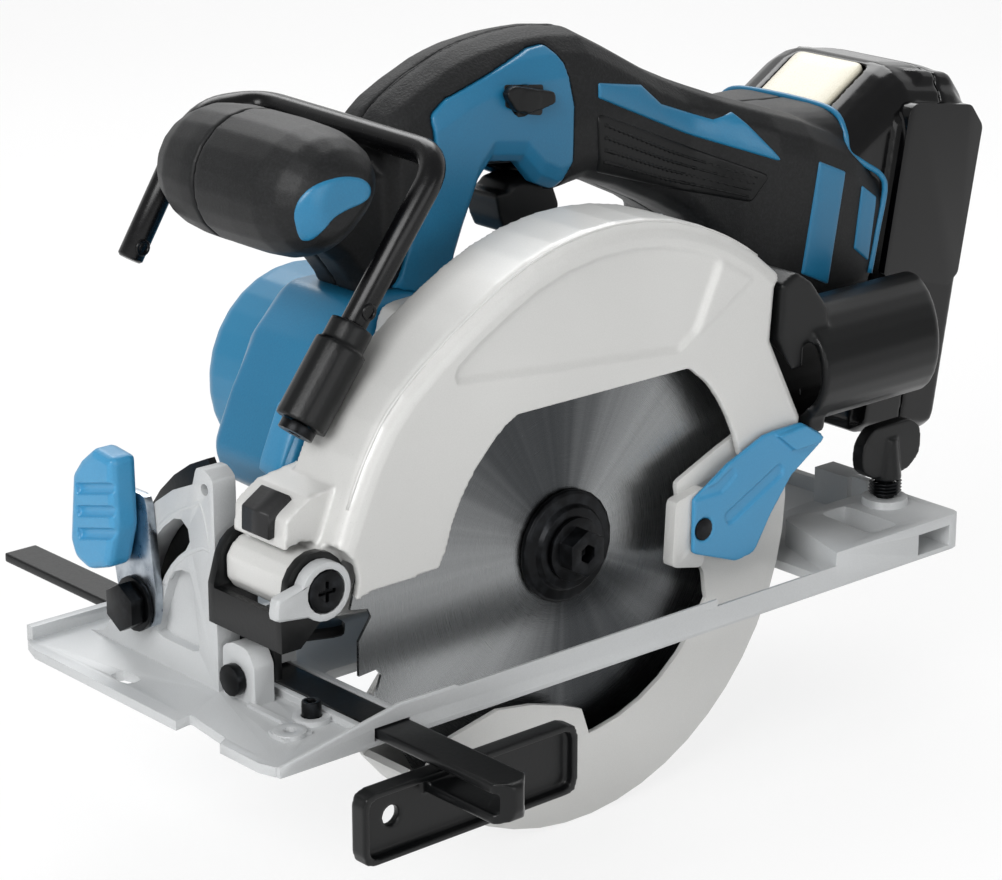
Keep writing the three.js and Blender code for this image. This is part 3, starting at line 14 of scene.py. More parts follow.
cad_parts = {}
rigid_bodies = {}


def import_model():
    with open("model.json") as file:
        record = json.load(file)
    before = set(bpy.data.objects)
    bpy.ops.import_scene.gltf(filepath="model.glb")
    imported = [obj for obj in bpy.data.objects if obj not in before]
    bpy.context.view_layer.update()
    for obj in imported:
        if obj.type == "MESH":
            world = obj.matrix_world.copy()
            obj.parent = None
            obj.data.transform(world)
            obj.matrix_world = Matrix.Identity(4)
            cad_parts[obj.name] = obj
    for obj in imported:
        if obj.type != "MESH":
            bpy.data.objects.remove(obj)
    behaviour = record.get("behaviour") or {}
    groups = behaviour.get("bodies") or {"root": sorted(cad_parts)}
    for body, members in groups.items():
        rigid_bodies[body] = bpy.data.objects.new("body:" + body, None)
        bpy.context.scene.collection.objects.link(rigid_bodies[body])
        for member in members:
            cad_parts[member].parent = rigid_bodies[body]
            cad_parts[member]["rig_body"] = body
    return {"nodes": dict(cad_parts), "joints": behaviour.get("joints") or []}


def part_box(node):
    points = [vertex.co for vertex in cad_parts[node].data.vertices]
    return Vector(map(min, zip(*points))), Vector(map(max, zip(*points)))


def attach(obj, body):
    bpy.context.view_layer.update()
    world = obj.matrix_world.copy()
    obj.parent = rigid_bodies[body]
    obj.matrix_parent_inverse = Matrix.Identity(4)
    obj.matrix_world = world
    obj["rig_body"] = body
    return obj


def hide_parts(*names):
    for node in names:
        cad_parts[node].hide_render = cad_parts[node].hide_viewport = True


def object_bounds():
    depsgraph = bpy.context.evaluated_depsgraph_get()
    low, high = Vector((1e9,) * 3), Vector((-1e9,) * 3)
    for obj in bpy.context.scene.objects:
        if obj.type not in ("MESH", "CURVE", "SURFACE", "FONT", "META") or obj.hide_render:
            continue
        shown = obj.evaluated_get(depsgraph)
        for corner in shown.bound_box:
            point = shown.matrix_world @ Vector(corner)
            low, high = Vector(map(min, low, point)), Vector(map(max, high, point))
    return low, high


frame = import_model()
cad_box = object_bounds()


# The base is one aluminium casting: a flat sole, guide rails round the blade opening, the
# tilt quadrant at the front and the pocketed block at the rear. It is shot blasted, then
# sprayed with a thin light grey coat, so its skin is a fine soft grain.

class Tone:
    """A value that varies over a surface. Arithmetic on it adds Math nodes."""

    def __init__(self, tree, socket=None):
        self.tree = tree
        self.socket = socket

    def feed(self, socket, value):
        """Links a varying value to a socket, or sets a plain one on it."""
        if isinstance(value, Tone):
            self.tree.links.new(value.socket, socket)
        else:
            socket.default_value = value

    def node(self, kind, settings=None, inputs=None, out=0):
        """Adds a node: its type, its settings, and the values or links of its sockets."""
        made = self.tree.nodes.new(kind)
        for key, value in (settings or {}).items():
            setattr(made, key, value)
        for key, value in (inputs or {}).items():
            self.feed(made.inputs[key], value)
        return Tone(self.tree, made.outputs[out])

    def math(self, operation, *values):
        """One sum on these values, such as MAXIMUM or SINE."""
        return self.node("ShaderNodeMath", {"operation": operation}, dict(enumerate(values)))

    def __add__(self, other):
        return self.math("ADD", self, other)

    def __sub__(self, other):
        return self.math("SUBTRACT", self, other)

    def __rsub__(self, other):
        return self.math("SUBTRACT", other, self)

    def __mul__(self, other):
        return self.math("MULTIPLY", self, other)

    def __pow__(self, other):
        return self.math("POWER", self, other)

    def __rpow__(self, other):
        return self.math("POWER", other, self)

    __radd__ = __add__
    __rmul__ = __mul__

    def between(self, low, high):
        """0 below low, 1 above high, and smooth in between."""
        return self.node("ShaderNodeMapRange", {"interpolation_type": "SMOOTHSTEP"},
                         {"Value": self, "From Min": low, "From Max": high})

    def noise(self, scale, detail):
        """A cloudy pattern; scale is how many of its patches go into a metre."""
        return self.node("ShaderNodeTexNoise", inputs={
            "Vector": self, "Scale": scale, "Detail": detail, "Roughness": 0.55})

    def axes(self):
        """How far along x, y and z the place lies."""
        return [self.node("ShaderNodeSeparateXYZ", inputs={0: self}, out=i) for i in range(3)]

    def pick(self, low, high):
        """The colour between low and high that this value stands for."""
        return self.node("ShaderNodeMix", {"data_type": "RGBA"},
                         {0: self, 6: colour(low), 7: colour(high)}, out=2)


def colour(value):
    """A linear colour from a written one such as 'c4c7c4'."""
    parts = [int(value[i:i + 2], 16) / 255 for i in (0, 2, 4)]
    return (*[c / 12.92 if c < 0.04045 else ((c + 0.055) / 1.055) ** 2.4 for c in parts], 1)


def coating(name, **constants):
    """A new material, its shader, and the place on the piece as a value to build from."""
    material = bpy.data.materials.new(name)
    material.use_nodes = True
    shader = material.node_tree.nodes["Principled BSDF"]
    for socket, value in constants.items():
        shader.inputs[socket.replace("_", " ")].default_value = value
    place = Tone(material.node_tree).node("ShaderNodeTexCoord", out="Object")
    return material, shader, place


def grained(name, dark, light, rough, grain, depth, **constants):
    """Moulded or sprayed skin: slow colour drift, and a fine grain in gloss and relief.

    grain is its scale in patches to the metre, and depth its relief in millimetres.
    """
    material, shader, place = coating(name, **constants)
    drift = place.noise(9.0, 2.0)
    fine = place.noise(grain, 3.0)
    mottle = (drift * 0.7 + fine * 0.3).between(0.3, 0.7)
    place.feed(shader.inputs["Base Color"], mottle.pick(dark, light))
    place.feed(shader.inputs["Roughness"], fine * 0.16 + (drift * 0.1 + (rough - 0.13)))
    bump = place.node("ShaderNodeBump", inputs={
        "Strength": 1.0, "Distance": depth / 1000, "Height": fine})
    place.feed(shader.inputs["Normal"], bump)
    return material


def by_angle():
    """Smooth shading with crisp edges kept, as a shared modifier group."""
    if "by_angle" in bpy.data.node_groups:
        return bpy.data.node_groups["by_angle"]
    group = bpy.data.node_groups.new("by_angle", "GeometryNodeTree")
    group.interface.new_socket("Geometry", in_out="INPUT", socket_type="NodeSocketGeometry")
    group.interface.new_socket("Geometry", in_out="OUTPUT", socket_type="NodeSocketGeometry")
    entry = group.nodes.new("NodeGroupInput")
    leave = group.nodes.new("NodeGroupOutput")
    angle = group.nodes.new("GeometryNodeInputMeshEdgeAngle")
    sharp = group.nodes.new("FunctionNodeCompare")
    sharp.data_type = "FLOAT"
    sharp.operation = "GREATER_THAN"
    sharp.inputs[1].default_value = math.radians(38)
    faces = group.nodes.new("GeometryNodeSetShadeSmooth")
    edges = group.nodes.new("GeometryNodeSetShadeSmooth")
    edges.domain = "EDGE"
    group.links.new(angle.outputs[0], sharp.inputs[0])
    group.links.new(entry.outputs[0], faces.inputs[0])
    group.links.new(faces.outputs[0], edges.inputs[0])
    flip = group.nodes.new("FunctionNodeBooleanMath")
    flip.operation = "NOT"
    group.links.new(sharp.outputs[0], flip.inputs[0])
    group.links.new(flip.outputs[0], edges.inputs["Shade Smooth"])
    group.links.new(edges.outputs[0], leave.inputs[0])
    return group


def dress(node, material, edge):
    """Gives a CAD node its finish, and breaks its edges as a casting or moulding has them."""
    piece = frame["nodes"][node]
    piece.data.materials.clear()
    piece.data.materials.append(material)
    weld = piece.modifiers.new("weld", "WELD")
    weld.merge_threshold = 1e-6
    if edge:
        bevel = piece.modifiers.new("edges", "BEVEL")
        bevel.width = edge / 1000
        bevel.segments = 2
        bevel.limit_method = "ANGLE"
        bevel.angle_limit = math.radians(32)
        bevel.use_clamp_overlap = True
        bevel.miter_outer = "MITER_ARC"
    smooth = piece.modifiers.new("smooth", "NODES")
    smooth.node_group = by_angle()


cast_coat = grained("cast_coat", "adafb0", "bcbebf", 0.44, 2600, 0.05, Metallic=0.1)
dress("base_casting", cast_coat, 0.5)


# The quadrant's slot has a raised rim on its front face, which the clamp bolt's washer
# runs against. It is cast with the base and left under the same paint.
def pivot(joint, origin=(0, 0, 0)):
    """Where a joint's axis stands, in millimetres from an origin."""
    where = next(j["pos_m"] for j in frame["joints"] if j["name"] == joint)
    return [round(1000 * c - o, 3) for c, o in zip(where, origin)]


ARBOR = Vector(pivot("guard_retract"))
TILT = pivot("bevel_tilt", ARBOR)
SLOT_R = 45
RIM_X = -108.12
RIM_OFF = 6.2


def at(x, y, z):
    """A place given in millimetres from the arbor, in the frame's metres."""
    return (Vector((x, y, z)) + ARBOR) / 1000


def finish_piece(piece, body, material):
    """Gives a new piece its finish and its body."""
    piece.data.materials.append(material)
    piece.data.polygons.foreach_set("use_smooth", [True] * len(piece.data.polygons))
    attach(piece, body)
    return piece


def solid_piece(name, build, body, material):
    """A new piece from a finished solid."""
    mesh = bpy.data.meshes.new(name)
    build.to_mesh(mesh)
    piece = bpy.data.objects.new(name, mesh)
    bpy.context.collection.objects.link(piece)
    return finish_piece(piece, body, material)


def curve_through(points, steps, closed=False):
    """Points on a smooth line through the ones given, steps to each stretch."""
    points = [Vector(p) for p in points]
    count = len(points)
    line = []
    for i in range(count if closed else count - 1):
        if closed:
            p0, p1, p2, p3 = (points[(i + k) % count] for k in (-1, 0, 1, 2))
        else:
            p0, p1, p2, p3 = (points[max(0, min(count - 1, i + k))] for k in (-1, 0, 1, 2))
        for k in range(steps):
            t = k / steps
            line.append(0.5 * (2 * p1 + (p2 - p0) * t + (2 * p0 - 5 * p1 + 4 * p2 - p3) * t * t
                               + (3 * p1 - p0 - 3 * p2 + p3) * t ** 3))
    return line if closed else line + [points[-1]]


def tube(line, radius, sides=8, closed=False, ends=0.0):
    """A round bar along a line of points in millimetres, its end edges rounded off by ends."""
    build = bmesh.new()
    line = [Vector(p) for p in line]
    if ends:
        first = (line[1] - line[0]).normalized() * ends
        last = (line[-2] - line[-1]).normalized() * ends
        line = [line[0], line[0] + first] + line[1:-1] + [line[-1] + last, line[-1]]
    side = None
    rings = []
    for i, point in enumerate(line):
        before = line[i - 1] if i or closed else point
        after = line[(i + 1) % len(line)] if closed or i + 1 < len(line) else point
        along = (after - before).normalized()
        side = (side or along.orthogonal()) - along * (side or along.orthogonal()).dot(along)
        side.normalize()
        up = along.cross(side)
        r = radius - ends if ends and i in (0, len(line) - 1) else radius
        rings.append([build.verts.new(at(*(point + (side * math.cos(a) + up * math.sin(a)) * r)))
                      for a in (2 * math.pi * k / sides for k in range(sides))])
    for i in range(len(rings) if closed else len(rings) - 1):
        ring, following = rings[i], rings[(i + 1) % len(rings)]
        for k in range(sides):
            build.faces.new((ring[k], ring[(k + 1) % sides], following[(k + 1) % sides], following[k]))
    if not closed:
        build.faces.new(rings[0][::-1])
        build.faces.new(rings[-1])
    bmesh.ops.recalc_face_normals(build, faces=build.faces)
    return build


def bead(name, line, radius, slot, material, body="head", **shape):
    """A raised line, a seam or a bar along a path."""
    return solid_piece(name, tube(line, radius, **shape), body, material)


rim_line = []
for radius, angles in ((SLOT_R + RIM_OFF, range(30, 77, 4)), (SLOT_R - RIM_OFF, range(74, 29, -4))):
    for angle in map(math.radians, angles):
        rim_line.append((RIM_X, TILT[1] + radius * math.cos(angle), TILT[2] + radius * math.sin(angle)))
bead("slot_rim", curve_through(rim_line, 3), 1.1, "cast_alloy", cast_coat, body="base")


# Screws, hinge pins and the blade's clamping hardware are turned steel with a black
# oxide finish, dark and slightly oily, greyer where fingers and spanners have been.
black_oxide, shader, place = coating("black_oxide", Metallic=0.8)
wear = place.noise(240, 4.0)
place.feed(shader.inputs["Base Color"], wear.between(0.42, 0.78).pick("0e0f11", "222427"))
place.feed(shader.inputs["Roughness"], wear * 0.2 + 0.24)
for node in ("adjusting_screw", "front_hinge_pin", "rear_hinge_pin", "bevel_bolt", "bevel_washer",
             "depth_pivot_bolt", "guard_lever_screw", "nozzle_screw", "hook_screw",
             "inner_flange", "outer_flange", "blade_bolt", "wing_spring"):
    dress(node, black_oxide, 0.25)


# The bare steel parts are the depth guide, the guard's spring, bearings, spindle, gear and
# the two halves of the motor: ground or drawn steel, bright with a faint cloudy haze. The
# bevel lever's strip is zinc plated, a shade cooler.
def bright_steel(name, dark, light, rough):
    material, shader, place = coating(name, Metallic=1.0)
    haze = place.noise(180, 5.0)
    place.feed(shader.inputs["Base Color"], haze.between(0.3, 0.7).pick(dark, light))
    place.feed(shader.inputs["Roughness"], haze * 0.2 + (rough - 0.1))
    return material


drawn_steel = bright_steel("drawn_steel", "8f9296", "b4b7ba", 0.32)
zinc_plate = bright_steel("zinc_plate", "8d959e", "b9c0c7", 0.3)
for node in ("depth_guide", "guard_spring", "front_bearing", "rear_bearing",
             "spindle", "large_gear", "rotor", "stator"):
    dress(node, drawn_steel, 0)
dress("bevel_lever_strip", zinc_plate, 0.3)


# The tilting frame is folded from thick sheet and powder coated black, as the rip
# fence is: an even satin skin with a slight orange peel. The fence bar ends in a round tip.
powder_coat = grained("powder_coat", "060708", "0c0d0e", 0.34, 900, 0.03, Specular_IOR_Level=0.3)
dress("tilt_bracket", powder_coat, 0.4)
def reach(node):
    """A CAD node's lowest and highest corners, in millimetres from the arbor."""
    return [[round(1000 * c - a, 2) for c, a in zip(corner, ARBOR)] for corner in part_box(node)]


BAR = (-95, -83)
BAR_END = reach("fence")[0][1]
TIP = 6.5


def corners(points, radius):
    """An outline with its corners rounded. A third number is a corner's own radius."""
    loop = []
    for i, point in enumerate(points):
        here = Vector(point[:2])
        ways = [Vector(points[(i + k) % len(points)][:2]) - here for k in (-1, 1)]
        own = point[2] if len(point) > 2 else radius
        half = ways[0].angle(ways[1]) / 2
        cut = min(own / math.tan(half), 0.48 * ways[0].length, 0.48 * ways[1].length)
        if cut < 0.05:
            loop.append(here)
            continue
        start, end = (here + way.normalized() * cut for way in ways)
        for k in range(5):
            t = k / 4
            loop.append(start * (1 - t) ** 2 + here * 2 * t * (1 - t) + end * t * t)
    return loop


def slab(outline, along, low, high, radius, taper=0.0):
    """An outline carried along an axis, from low to high, drawn in by taper at the high end."""
    axis = "xyz".index(along)
    axes = [i for i in range(3) if i != axis]
    loop = corners(outline, radius)
    area = sum(a.cross(b) for a, b in zip(loop, loop[1:] + loop[:1]))
    build = bmesh.new()
    rings = []
    for level, inset in ((low, 0.0), (high, taper if area > 0 else -taper)):
        ring = []
        for i, point in enumerate(loop):
            way = (loop[(i + 1) % len(loop)] - loop[i - 1]).normalized()
            moved = point + Vector((-way.y, way.x)) * inset
            place = Vector((0, 0, 0))
            place[axis] = level
            place[axes[0]], place[axes[1]] = moved
            ring.append(build.verts.new(at(*place)))
        rings.append(ring)
    for k in range(len(loop)):
        after = (k + 1) % len(loop)
        build.faces.new((rings[0][k], rings[0][after], rings[1][after], rings[1][k]))
    build.faces.new(rings[0][::-1])
    build.faces.new(rings[1])
    bmesh.ops.triangulate(build, faces=[f for f in build.faces if len(f.verts) > 4])
    bmesh.ops.recalc_face_normals(build, faces=build.faces)
    return build


def solid_of(node):
    """A CAD node's own shape, to build on."""
    build = bmesh.new()
    build.from_mesh(frame["nodes"][node].data)
    bmesh.ops.remove_doubles(build, verts=build.verts, dist=1e-6)
    return build


def moulding(name, node, material, voxel, rub, keep=0.25, shapes=None, less=()):
    """One skin round the shapes given, with the radii of a casting or a moulding.

    It is melted together at a grain of voxel millimetres and rubbed down rub times. Then
    only a share, keep, of its faces stays. The shapes in less are taken out of it first.
    """
    mesh = bpy.data.meshes.new(name)
    whole = bmesh.new()
    for shape in shapes or [solid_of(node)]:
        part = bpy.data.meshes.new("part")
        shape.to_mesh(part)
        whole.from_mesh(part)
        bpy.data.meshes.remove(part)
    whole.to_mesh(mesh)
    piece = bpy.data.objects.new(name, mesh)
    bpy.context.collection.objects.link(piece)
    tools = []
    for shape in less:
        cutter_mesh = bpy.data.meshes.new("cutter")
        shape.to_mesh(cutter_mesh)
        cutter = bpy.data.objects.new("cutter", cutter_mesh)
        bpy.context.collection.objects.link(cutter)
        taken = piece.modifiers.new("cut", "BOOLEAN")
        taken.object = cutter
        taken.solver = "EXACT"
        taken.use_self = True
        tools.append(cutter)
    melt = piece.modifiers.new("melt", "REMESH")
    melt.mode = "VOXEL"
    melt.voxel_size = voxel / 1000
    worn = piece.modifiers.new("rub", "SMOOTH")
    worn.iterations = rub
    thin = piece.modifiers.new("thin", "DECIMATE")
    thin.ratio = keep
    shaped = bpy.data.meshes.new_from_object(piece.evaluated_get(bpy.context.evaluated_depsgraph_get()))
    piece.modifiers.clear()
    piece.data = shaped
    for cutter in tools:
        bpy.data.objects.remove(cutter)
    finish_piece(piece, frame["nodes"][node]["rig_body"], material)
    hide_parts(node)
    return piece


tips = []
for x, way in ((BAR[0] - 1, 1), (BAR[1] + 1, -1)):
    off_corner = [(x, BAR_END - 1), (x, BAR_END - 1 + TIP), (x + way * TIP, BAR_END - 1)]
    tips.append(slab(off_corner, "z", -60, -20, 0.1))
moulding("fence_formed", "fence", powder_coat, voxel=0.55, rub=4, keep=0.22, less=tips)


# Small controls are black moulded nylon: clamp levers, wing bolt, and the nozzle, which
# flares into the guard. A fine spark-eroded texture takes the shine off. The switch, the
# terminals' block and the fan inside are moulded in the same nylon.
black_nylon = grained("black_nylon", "060708", "0c0d0e", 0.36, 1900, 0.04, Specular_IOR_Level=0.28)
for node in ("clamp_screw", "depth_lever", "switch", "terminal_block", "fan"):
    dress(node, black_nylon, 0.5)
moulding("wing_moulded", "wing_bolt", black_nylon, voxel=0.45, rub=5)
moulding("nozzle_moulded", "dust_nozzle", black_nylon, voxel=0.8, rub=7, keep=0.3)


# The upper guard is one casting, enamelled all over, with a sunk field on its near wall
# and a raised bead inside the rim. The lower guard is enamelled to match. The gear case and
# the small castings beside it keep the base's coat.
guard_enamel = grained("guard_enamel", "bdbdbb", "cacac8", 0.32, 2200, 0.025, Metallic=0.05)
NEAR_FACE = -12.5


def rim_radius(a):
    """The near wall's radius, a degrees up from the rear; it swells at the front and behind."""
    if a > 163:
        return 97 + 8 * min((a - 163) / 17, 1)
    return 94.3 + 0.2 * max(0, 115 - a) + 2.7 * max(0, min((a - 128) / 14, 1))


def on_rim(a, inset, y=NEAR_FACE):
    """A place on the near wall, a degrees up from the rear and so far in from the rim."""
    r = rim_radius(a) - inset
    return (r * math.cos(math.radians(a)), y, r * math.sin(math.radians(a)))


FIELD_DEPTH = 1.3
FIELD_TO_RIM = 6.2
BEAD_TO_RIM = 0.75
field = [(-54, 62.6, 5), (36.5, 54.6, 5), (45, 60, 5)]
field += [(x, z) for x, y, z in (on_rim(a, FIELD_TO_RIM) for a in range(56, 129, 8))]
sunk = slab(field, "y", NEAR_FACE - 1.4, NEAR_FACE + FIELD_DEPTH, 5, taper=3.0)
moulding("upper_guard_casting", "upper_guard", guard_enamel, voxel=0.7, rub=3, keep=0.2,
         less=[sunk])
rim_bead = [on_rim(a, BEAD_TO_RIM, NEAR_FACE + 3.3) for a in range(48, 160, 3)]
bead("guard_rim_line", rim_bead, 0.5, "painted_guard", guard_enamel)
dress("lower_guard", guard_enamel, 0.5)
for node in ("gear_case", "bearing_box", "stop_lever", "controller"):
    dress(node, cast_coat, 0.4)


# The front stop is a small block of moulded black rubber, pressed on to the front of the
# guard over the lift pivot, where it cushions the head.
rubber = grained("stop_rubber", "08080a", "101113", 0.5, 1200, 0.04)
stop = [(-101.2, 38.6), (-108.6, 34), (-108.9, 26.4), (-104.5, 27.4), (-104, 31), (-99, 35)]
solid_piece("front_stop", slab(stop, "y", 3, 15, 0.8), "head", rubber)


# The blade is a ground steel disc, clamped between its flanges by one bolt. Grinding leaves
# fine rings round the bore. The broad fans of lighter and darker colour across them are a
# painted sheen: they stand in for the bands of light that a ground disc reflects.
ground, shader, place = coating("ground_steel_painted_sheen", Metallic=1.0)
spot = place.node("ShaderNodeVectorMath", {"operation": "SUBTRACT"}, {0: place, 1: at(0, 0, 0)})
x, y, z = spot.axes()
radius = (x * x + z * z) ** 0.5
turn = place.math("ARCTAN2", z, x)
ring = place.node("ShaderNodeCombineXYZ", inputs={0: radius * 9000, 1: turn * 3.0, 2: 0.0})
line = ring.noise(1.0, 2.0)
# Painted sheen: fan and the streaks below lighten and darken sectors round the bore, in place of reflected
# light.
fan = place.math("SINE", turn * 2 + 0.9) * 0.5 + 0.5
round_blade = place.node("ShaderNodeCombineXYZ", inputs={
    0: place.math("SINE", turn) * 6, 1: place.math("COSINE", turn) * 6, 2: 0.0})
painted_sheen_streaks = round_blade.noise(1.6, 3.0)
# Only line is the grinding's own rings; the rest of this colour is the painted sheen.
shade = fan * 0.62 + painted_sheen_streaks * 0.3 + line * 0.12
place.feed(shader.inputs["Base Color"], shade.between(0.15, 0.95).pick("3c3e40", "969899"))
place.feed(shader.inputs["Roughness"], line * 0.15 + 0.2)
place.feed(shader.inputs["Normal"], place.node("ShaderNodeBump", inputs={
    "Strength": 1.0, "Distance": 0.00003, "Height": line}))
dress("blade", ground, 0)


# The motor housing is glass filled nylon in deep teal, with a fine matt texture. Low on its
# front face a patch in the lighter nylon's colour is painted light, the teal where the key lamp
# falls, under a notch painted as a dark sheet of shade. The bevel lever's knob is of that nylon.
teal_nylon = grained("teal_nylon", "1a668b", "21769d", 0.36, 1700, 0.04)
sky_nylon = grained("sky_nylon", "337fa9", "3d8cb6", 0.34, 1500, 0.03)
# This near-black is painted shade, laid as thin sheets where a notch or well is sunk.
painted_recess_shade = grained("painted_recess_shade", "060708", "0b0c0d", 0.6, 900, 0.01)


def spread(loop, gap):
    """The closed outline again, with no side longer than gap."""
    fine = []
    for i, point in enumerate(loop):
        after = loop[(i + 1) % len(loop)]
        parts = max(1, math.ceil((after - point).length / gap))
        fine += [point.lerp(after, k / parts) for k in range(parts)]
    return fine


def edge_distance(point, loop):
    """How far a point lies from an outline, and whether it is inside."""
    best = 1e9
    inside = False
    for i, a in enumerate(loop):
        b = loop[(i + 1) % len(loop)]
        side = b - a
        t = max(0, min(1, (point - a).dot(side) / max(side.length_squared, 1e-12)))
        best = min(best, (point - a - side * t).length)
        if (a.y > point.y) != (b.y > point.y):
            inside ^= point.x < a.x + (point.y - a.y) / (b.y - a.y) * side.x
    return best, inside


def inlay(name, onto, outline, material, rise, lip, round_by, look=(0, 1, 0), step=2.2):
    """A thin moulded panel that lies on a piece of the head and follows its surface.

    The outline is seen along look: (x, z) along y, and (y, z) along x. The panel stands
    proud by rise, with an edge rounded over lip, and is sunk a little into the piece.
    """
    sink = 0.5
    look = Vector(look)
    across = max(range(3), key=lambda i: abs(look[i]))
    axes = [i for i in range(3) if i != across]
    under = bmesh.new()
    under.from_mesh(onto.data)
    tree = BVHTree.FromBMesh(under)
    loop = spread(corners(outline, round_by), step)
    area = sum(a.cross(b) for a, b in zip(loop, loop[1:] + loop[:1]))
    if area < 0:
        loop.reverse()
    flat = list(loop)
    for share in (0.15, 0.5, 1.0):
        for i, point in enumerate(loop):
            along = (loop[(i + 1) % len(loop)] - loop[i - 1]).normalized()
            moved = point + Vector((-along.y, along.x)) * lip * share
            distance, inside = edge_distance(moved, loop)
            if inside and distance > 0.93 * lip * share:
                flat.append(moved)
    low = [min(p[i] for p in loop) for i in (0, 1)]
    high = [max(p[i] for p in loop) for i in (0, 1)]
    for i in range(int((high[0] - low[0]) / step) + 1):
        for j in range(int((high[1] - low[1]) / step) + 1):
            point = Vector((low[0] + (i + 0.5) * step, low[1] + (j + 0.5) * step))
            distance, inside = edge_distance(point, loop)
            if inside and distance > lip + 0.3 * step:
                flat.append(point)
    rim = [(i, (i + 1) % len(loop)) for i in range(len(loop))]
    points, _, faces, origin, _, _ = delaunay_2d_cdt(flat, rim, [], 1, 1e-5)
    build = bmesh.new()
    tops = []
    bottoms = []
    for point in points:
        place = Vector((0, 0, 0))
        place[axes[0]], place[axes[1]] = point
        start = at(*place) - look * 0.5
        hit = tree.ray_cast(start, look)[0]
        if hit is None:
            hit = tree.find_nearest(at(*place))[0]
        distance = edge_distance(point, loop)[0]
        height = rise * math.sqrt(max(0, 1 - (1 - min(distance / lip, 1)) ** 2))
        tops.append(build.verts.new(hit - look * height / 1000))
        bottoms.append(build.verts.new(hit + look * sink / 1000))
    for face in faces:
        build.faces.new([tops[i] for i in face])
        build.faces.new([bottoms[i] for i in reversed(face)])
    place_of = {old: new for new, olds in enumerate(origin) for old in olds}
    for a, b in rim:
        a, b = place_of[a], place_of[b]
        if a != b:
            build.faces.new((tops[a], tops[b], bottoms[b], bottoms[a]))
    bmesh.ops.recalc_face_normals(build, faces=build.faces)
    return solid_piece(name, build, "head", material)


motor = moulding("motor_moulded", "motor_housing", teal_nylon, voxel=0.9, rub=6)
# Painted light: this lighter patch stands for the teal where the key lamp falls on it.
inlay("motor_plate_painted_light", motor, [(41.5, 48), (52, 47), (53, 27), (43, 24)], sky_nylon,
      rise=0.7, lip=0.8, look=(1, 0, 0), round_by=1)
# Painted shade: the notch is a thin dark sheet on the housing, not a cut.
inlay("motor_notch_painted_shade", motor, [(41.5, 54), (50, 50.5), (41.8, 49)], painted_recess_shade,
      rise=0.1, lip=0.2, look=(1, 0, 0), round_by=0.3, step=1.5)
moulding("knob_moulded", "bevel_knob", sky_nylon, voxel=0.4, rub=4)


# The handle is moulded in two halves that meet on a centre seam and flare round the
# battery's rails behind. Soft black elastomer covers it, with a coarse sparkling grain on
# its upper faces and a finer satin one below.
PACK_SIDES = [corner[1] for corner in reach("battery_case")]
PACK = Vector((167, sum(PACK_SIDES) / 2, 81))
PACK_FLOOR = -6
LEAN = math.radians(10)
PARTING = {"near": reach("handle_near")[1][1], "far": reach("handle_far")[0][1]}
SEAM_Y = sum(PARTING.values()) / 2


def beside_pack(away, across, along):
    """A place given in the battery's own leaning axes."""
    return PACK + Vector((away * math.cos(LEAN) + along * math.sin(LEAN), across,
                          along * math.cos(LEAN) - away * math.sin(LEAN)))


def arch(away, half, top, flat, shoulder):
    """A section across the tool: half its width, its top, half its flat and its shoulders' height."""
    quarter = [math.radians(15 * k) for k in range(7)]
    side = [(flat + (half - flat) * math.cos(a), top - shoulder + shoulder * math.sin(a)) for a in quarter]
    points = [(half, PACK_FLOOR)] + side + [(-y, z) for y, z in reversed(side)] + [(-half, PACK_FLOOR)]
    return [beside_pack(away, y, z) for y, z in points]


def skin(rings):
    """A closed solid through rings of points in millimetres."""
    build = bmesh.new()
    rings = [[build.verts.new(at(*p)) for p in ring] for ring in rings]
    for ring, following in zip(rings, rings[1:]):
        for k in range(len(ring)):
            after = (k + 1) % len(ring)
            build.faces.new((ring[k], ring[after], following[after], following[k]))
    build.faces.new(rings[0][::-1])
    build.faces.new(rings[-1])
    bmesh.ops.triangulate(build, faces=[f for f in build.faces if len(f.verts) > 4])
    bmesh.ops.recalc_face_normals(build, faces=build.faces)
    return build


def trimmed(build, *trims):
    """The solid again, cut flat. Each trim is a point and the side that is cut away."""
    for point, outwards in trims:
        cut = bmesh.ops.bisect_plane(build, geom=build.verts[:] + build.edges[:] + build.faces[:],
                                     plane_co=at(*point), plane_no=Vector(outwards), clear_outer=True)
        rims = [e for e in cut["geom_cut"] if isinstance(e, bmesh.types.BMEdge)]
        bmesh.ops.holes_fill(build, edges=rims, sides=0)
    bmesh.ops.triangulate(build, faces=build.faces)
    return build


elastomer, shader, place = coating("elastomer", Specular_IOR_Level=0.32)
x, y, z = place.axes()
behind_front_grip = x.between(-0.04, -0.028)
upper = (z + place.noise(60, 1.0) * 0.004).between(0.146, 0.152) * behind_front_grip
coarse = place.noise(1100, 2.0)
fine = place.noise(2600, 2.0)
grain = upper * coarse + (1 - upper) * fine * 0.3
place.feed(shader.inputs["Base Color"], coarse.between(0.35, 0.8).pick("0a0b0c", "161719"))
place.feed(shader.inputs["Roughness"], fine * 0.2 + (upper * 0.12 + 0.4))
place.feed(shader.inputs["Normal"], place.node("ShaderNodeBump", inputs={
    "Strength": 1.0, "Distance": 0.00022, "Height": grain}))
holder = [arch(-52, 18, 20.0, 6, 8), arch(-42, 24, 20.6, 8, 9),
          arch(-30, 28.5, 21.6, 12, 9), arch(-19.2, 30.5, 22.8, 14, 9)]
handles = {}
for side, away in (("near", 1), ("far", -1)):
    half_holder = trimmed(skin(holder), ((0, PARTING[side], 0), (0, away, 0)))
    handles[side] = moulding("handle_moulded_" + side, "handle_" + side, elastomer,
                             voxel=0.85, rub=6, shapes=[solid_of("handle_" + side), half_holder])
near = handles["near"]
crest = [(-24, 130.6), (-14, 136.3), (-7.5, 139), (3, 142.8), (9, 144.2), (22, 145.8), (36, 145.9),
         (49, 144.2), (64, 136.6), (82, 126.8), (98, 119.6), (117, 112.5), (130, 108.4)]
seam_line = curve_through([(x, SEAM_Y, z - 1.15) for x, z in crest], 4)
bead("handle_seam", seam_line, 0.95, "grip_rubber", elastomer)


